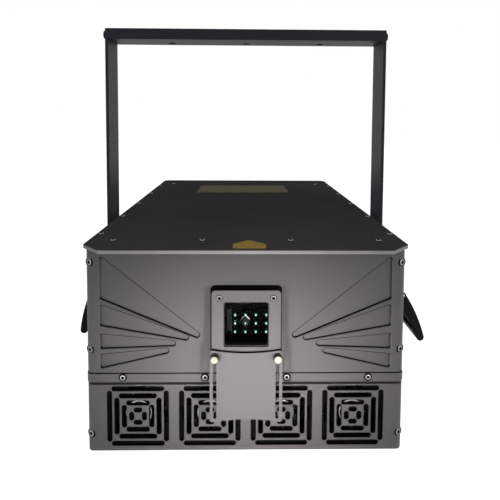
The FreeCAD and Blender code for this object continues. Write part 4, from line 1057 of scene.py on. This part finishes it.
def inlet_blades(plated):
    """Three flat blades in the power inlet."""
    bottom, middle = opening("power_inlet_cavity")
    blade_size = (0.002, 0.014, 0.004)
    reach, blade_round = 0.0065, 0.0003
    bm = bmesh.new()
    for x, z in ((-0.007, -0.002), (0.007, -0.002), (0.0, 0.002)):
        block(bm, blade_size, (middle.x + x, bottom + reach, middle.z + z))
    round_edges(bm, bm.edges[:], blade_round, segments=2)
    keep_piece(bm, "inlet_blades", plated, "housing", "key_steel")


def round_socket_pins(plated, plastic):
    """Inserts and pins in the two round signal sockets."""
    insert = {"base": 0.0082, "tip": 0.008, "depth": 0.002, "segments": 32}
    pin = {"base": 0.0012, "tip": 0.0009, "depth": 0.009, "segments": 16}
    insert_reach, pin_reach, pin_circle = 0.0006, 0.005, 0.0035
    pins = bmesh.new()
    inserts = bmesh.new()
    for name in ("signal_in_socket", "signal_out_socket"):
        bottom, middle = opening(name)
        peg(inserts, Matrix.Translation((middle.x, bottom + insert_reach, middle.z)) @ facing(BEHIND), **insert)
        for index in range(3):
            angle = math.radians(90 * index)
            x, z = middle.x + pin_circle * math.cos(angle), middle.z - pin_circle * math.sin(angle)
            peg(pins, Matrix.Translation((x, bottom + pin_reach, z)) @ facing(BEHIND), **pin)
    keep_piece(pins, "round_socket_pins", plated, "housing", "key_steel")
    keep_piece(inserts, "round_socket_inserts", plastic, "housing", "socket_plastic")


def flat_socket_pins(plated):
    """Two rows of contacts on the face of the wide flat socket."""
    wide = max(islands("signal_sockets"), key=lambda points: max(p.x for p in points) - min(p.x for p in points))
    face = max(p.y for p in wide)
    skin, pitch = 0.0002, 0.00275
    tip = [p for p in wide if p.y > face - skin]
    middle = sum(tip, Vector()) / len(tip)
    contact = {"base": 0.0006, "tip": 0.0005, "depth": 0.0006, "segments": 10}
    bm = bmesh.new()
    for rise, count in ((0.0014, 8), (-0.0014, 7)):
        for index in range(count):
            x = middle.x + (index - (count - 1) / 2) * pitch
            peg(bm, Matrix.Translation((x, face + skin, middle.z + rise)) @ facing(BEHIND), **contact)
    keep_piece(bm, "flat_socket_contacts", plated, "housing", "key_steel")


class PROJECTOR_OT_rear(Operator):
    """Finishes the rear inlet, switch, key and signal sockets"""

    bl_idname = "projector.rear"
    bl_label = "Rear fittings"

    def execute(self, context):
        edge_round = sizes().edge_round
        plastic = moulded_plastic("socket_plastic", finishes().plastic_black, roughness=0.38, grain_scale=1000.0)
        soften("power_inlet", plastic, edge_round)
        soften("power_switch", plastic, edge_round * 1.6, segments=3)
        plated = machined_metal("plated_socket_metal", finishes().screw_steel, roughness=0.28)
        soften("signal_sockets", plated, edge_round)
        soften("key_switch", plated, edge_round * 0.8)
        inlet_blades(plated)
        round_socket_pins(plated, plastic)
        flat_socket_pins(plated)
        return {"FINISHED"}


def seen_white(tree):
    """One where the camera, a gloss or a glass looks, and zero elsewhere."""
    path = new_node(tree, "LightPath", {})
    total = path.outputs["Is Camera Ray"]
    for name in ("Is Glossy Ray", "Is Transmission Ray"):
        total = combined(tree, "MAXIMUM", total, path.outputs[name])
    return total


def studio_floor():
    """Wide pale floor that shows white."""
    bm = bmesh.new()
    bmesh.ops.create_grid(bm, x_segments=8, y_segments=8, size=8.0)
    material, tree, shader = start_finish("pale_floor", (0.8, 0.8, 0.8), roughness=0.9, gloss=0.0)
    glow = spread(tree, seen_white(tree), 0.0, 0.97, 0.0, 1.0)
    set_inputs(shader, {"Emission Color": WHITE, "Emission Strength": glow})
    add_mesh(bm, "studio_floor", material)


def studio_sky(view):
    """White studio light that shows white and shines a little more from above."""
    world = bpy.data.worlds.new("studio_sky")
    bpy.context.scene.world = world
    world.use_nodes = True
    tree = world.node_tree
    height = height_of(tree, coordinates(tree, "Generated"))
    level = spread(tree, height, view.sky, view.zenith, 0.1, 0.7)
    strength = combined(tree, "MAXIMUM", level, seen_white(tree))
    set_inputs(tree.nodes["Background"], {"Color": WHITE, "Strength": strength})


def area_lamp(name, place, aim, size, power):
    """Soft round light that shines from a place to an aim; returns the light."""
    light = bpy.data.lights.new(name, "AREA")
    light.shape = "DISK"
    light.size = size
    light.energy = power
    lamp = add_object(name, light)
    lamp.location = place
    lamp.rotation_euler = (Vector(aim) - Vector(place)).to_track_quat("-Z", "Y").to_euler()
    return light


def add_grid(light):
    """Makes a light a warm softbox behind a grid, whose narrow beam lifts the middle of the front."""
    light.shape = "RECTANGLE"
    light.size_y = 0.12
    light.spread = math.radians(18)
    light.color = (1.0, 0.955, 0.945)


def front_camera(view):
    """Camera that stands where the photograph was taken from."""
    lens = bpy.data.cameras.new("front_camera")
    lens.sensor_width = 36.0
    lens.lens = view.lens
    lens.shift_y = view.rise
    lens.clip_start = 0.01
    eye = add_object("front_camera", lens)
    turn = Matrix.Rotation(-view.yaw, 4, "Z") @ Matrix.Rotation(math.pi / 2 - view.pitch, 4, "X")
    eye.matrix_world = Matrix.Translation(view.eye) @ turn @ Matrix.Rotation(view.roll, 4, "Z")
    bpy.context.scene.camera = eye


class PROJECTOR_OT_stage(Operator):
    """Sets the pale floor, the studio light and the camera"""

    bl_idname = "projector.stage"
    bl_label = "Stage"

    def execute(self, context):
        view = context.scene.projector_view
        studio_floor()
        studio_sky(view)
        body_middle, front_middle = (0, 0, 0.2), (0, -0.305, 0.119)
        area_lamp("key_light", (1.6, -1.9, 0.7), body_middle, 1.3, view.key_power)
        area_lamp("fill_light", (-1.4, -2.0, 0.6), body_middle, 1.5, view.fill_power)
        for side in (-0.55, 0.55):
            add_grid(area_lamp("gridded_box", (side, -1.3, 0.22), front_middle, 0.16, view.grid_power / 2))
        front_camera(view)
        context.scene.view_settings.view_transform = "Standard"
        return {"FINISHED"}


PIECE_OPERATORS = (
    PROJECTOR_OT_housing,
    PROJECTOR_OT_window,
    PROJECTOR_OT_thumbscrews,
    PROJECTOR_OT_screws,
    PROJECTOR_OT_yoke,
    PROJECTOR_OT_handles,
    PROJECTOR_OT_fans,
    PROJECTOR_OT_plates,
    PROJECTOR_OT_lenses,
    PROJECTOR_OT_optics,
    PROJECTOR_OT_rear,
    PROJECTOR_OT_stage,
)


class PROJECTOR_PT_panel(Panel):
    """Lists the projector's steps"""

    bl_idname = "PROJECTOR_PT_panel"
    bl_label = "Laser show projector"
    bl_space_type = "VIEW_3D"
    bl_region_type = "UI"
    bl_category = "Projector"

    def draw(self, context):
        for operator in PIECE_OPERATORS:
            self.layout.operator(operator.bl_idname)


CLASSES = (ProjectorSizes, ProjectorFinishes, ProjectorView, *PIECE_OPERATORS, PROJECTOR_PT_panel)


def register():
    for cls in CLASSES:
        bpy.utils.register_class(cls)
    bpy.types.Scene.projector_sizes = PointerProperty(type=ProjectorSizes)
    bpy.types.Scene.projector_finishes = PointerProperty(type=ProjectorFinishes)
    bpy.types.Scene.projector_view = PointerProperty(type=ProjectorView)


def unregister():
    del bpy.types.Scene.projector_view
    del bpy.types.Scene.projector_finishes
    del bpy.types.Scene.projector_sizes
    for cls in reversed(CLASSES):
        bpy.utils.unregister_class(cls)


def main():
    register()
    bpy.ops.projector.housing()
    bpy.ops.projector.window()
    bpy.ops.projector.thumbscrews()
    bpy.ops.projector.screws()
    bpy.ops.projector.yoke()
    bpy.ops.projector.handles()
    bpy.ops.projector.fans()
    bpy.ops.projector.plates()
    bpy.ops.projector.lenses()
    bpy.ops.projector.optics()
    bpy.ops.projector.rear()
    bpy.ops.projector.stage()


if __name__ == "__main__":
    main()
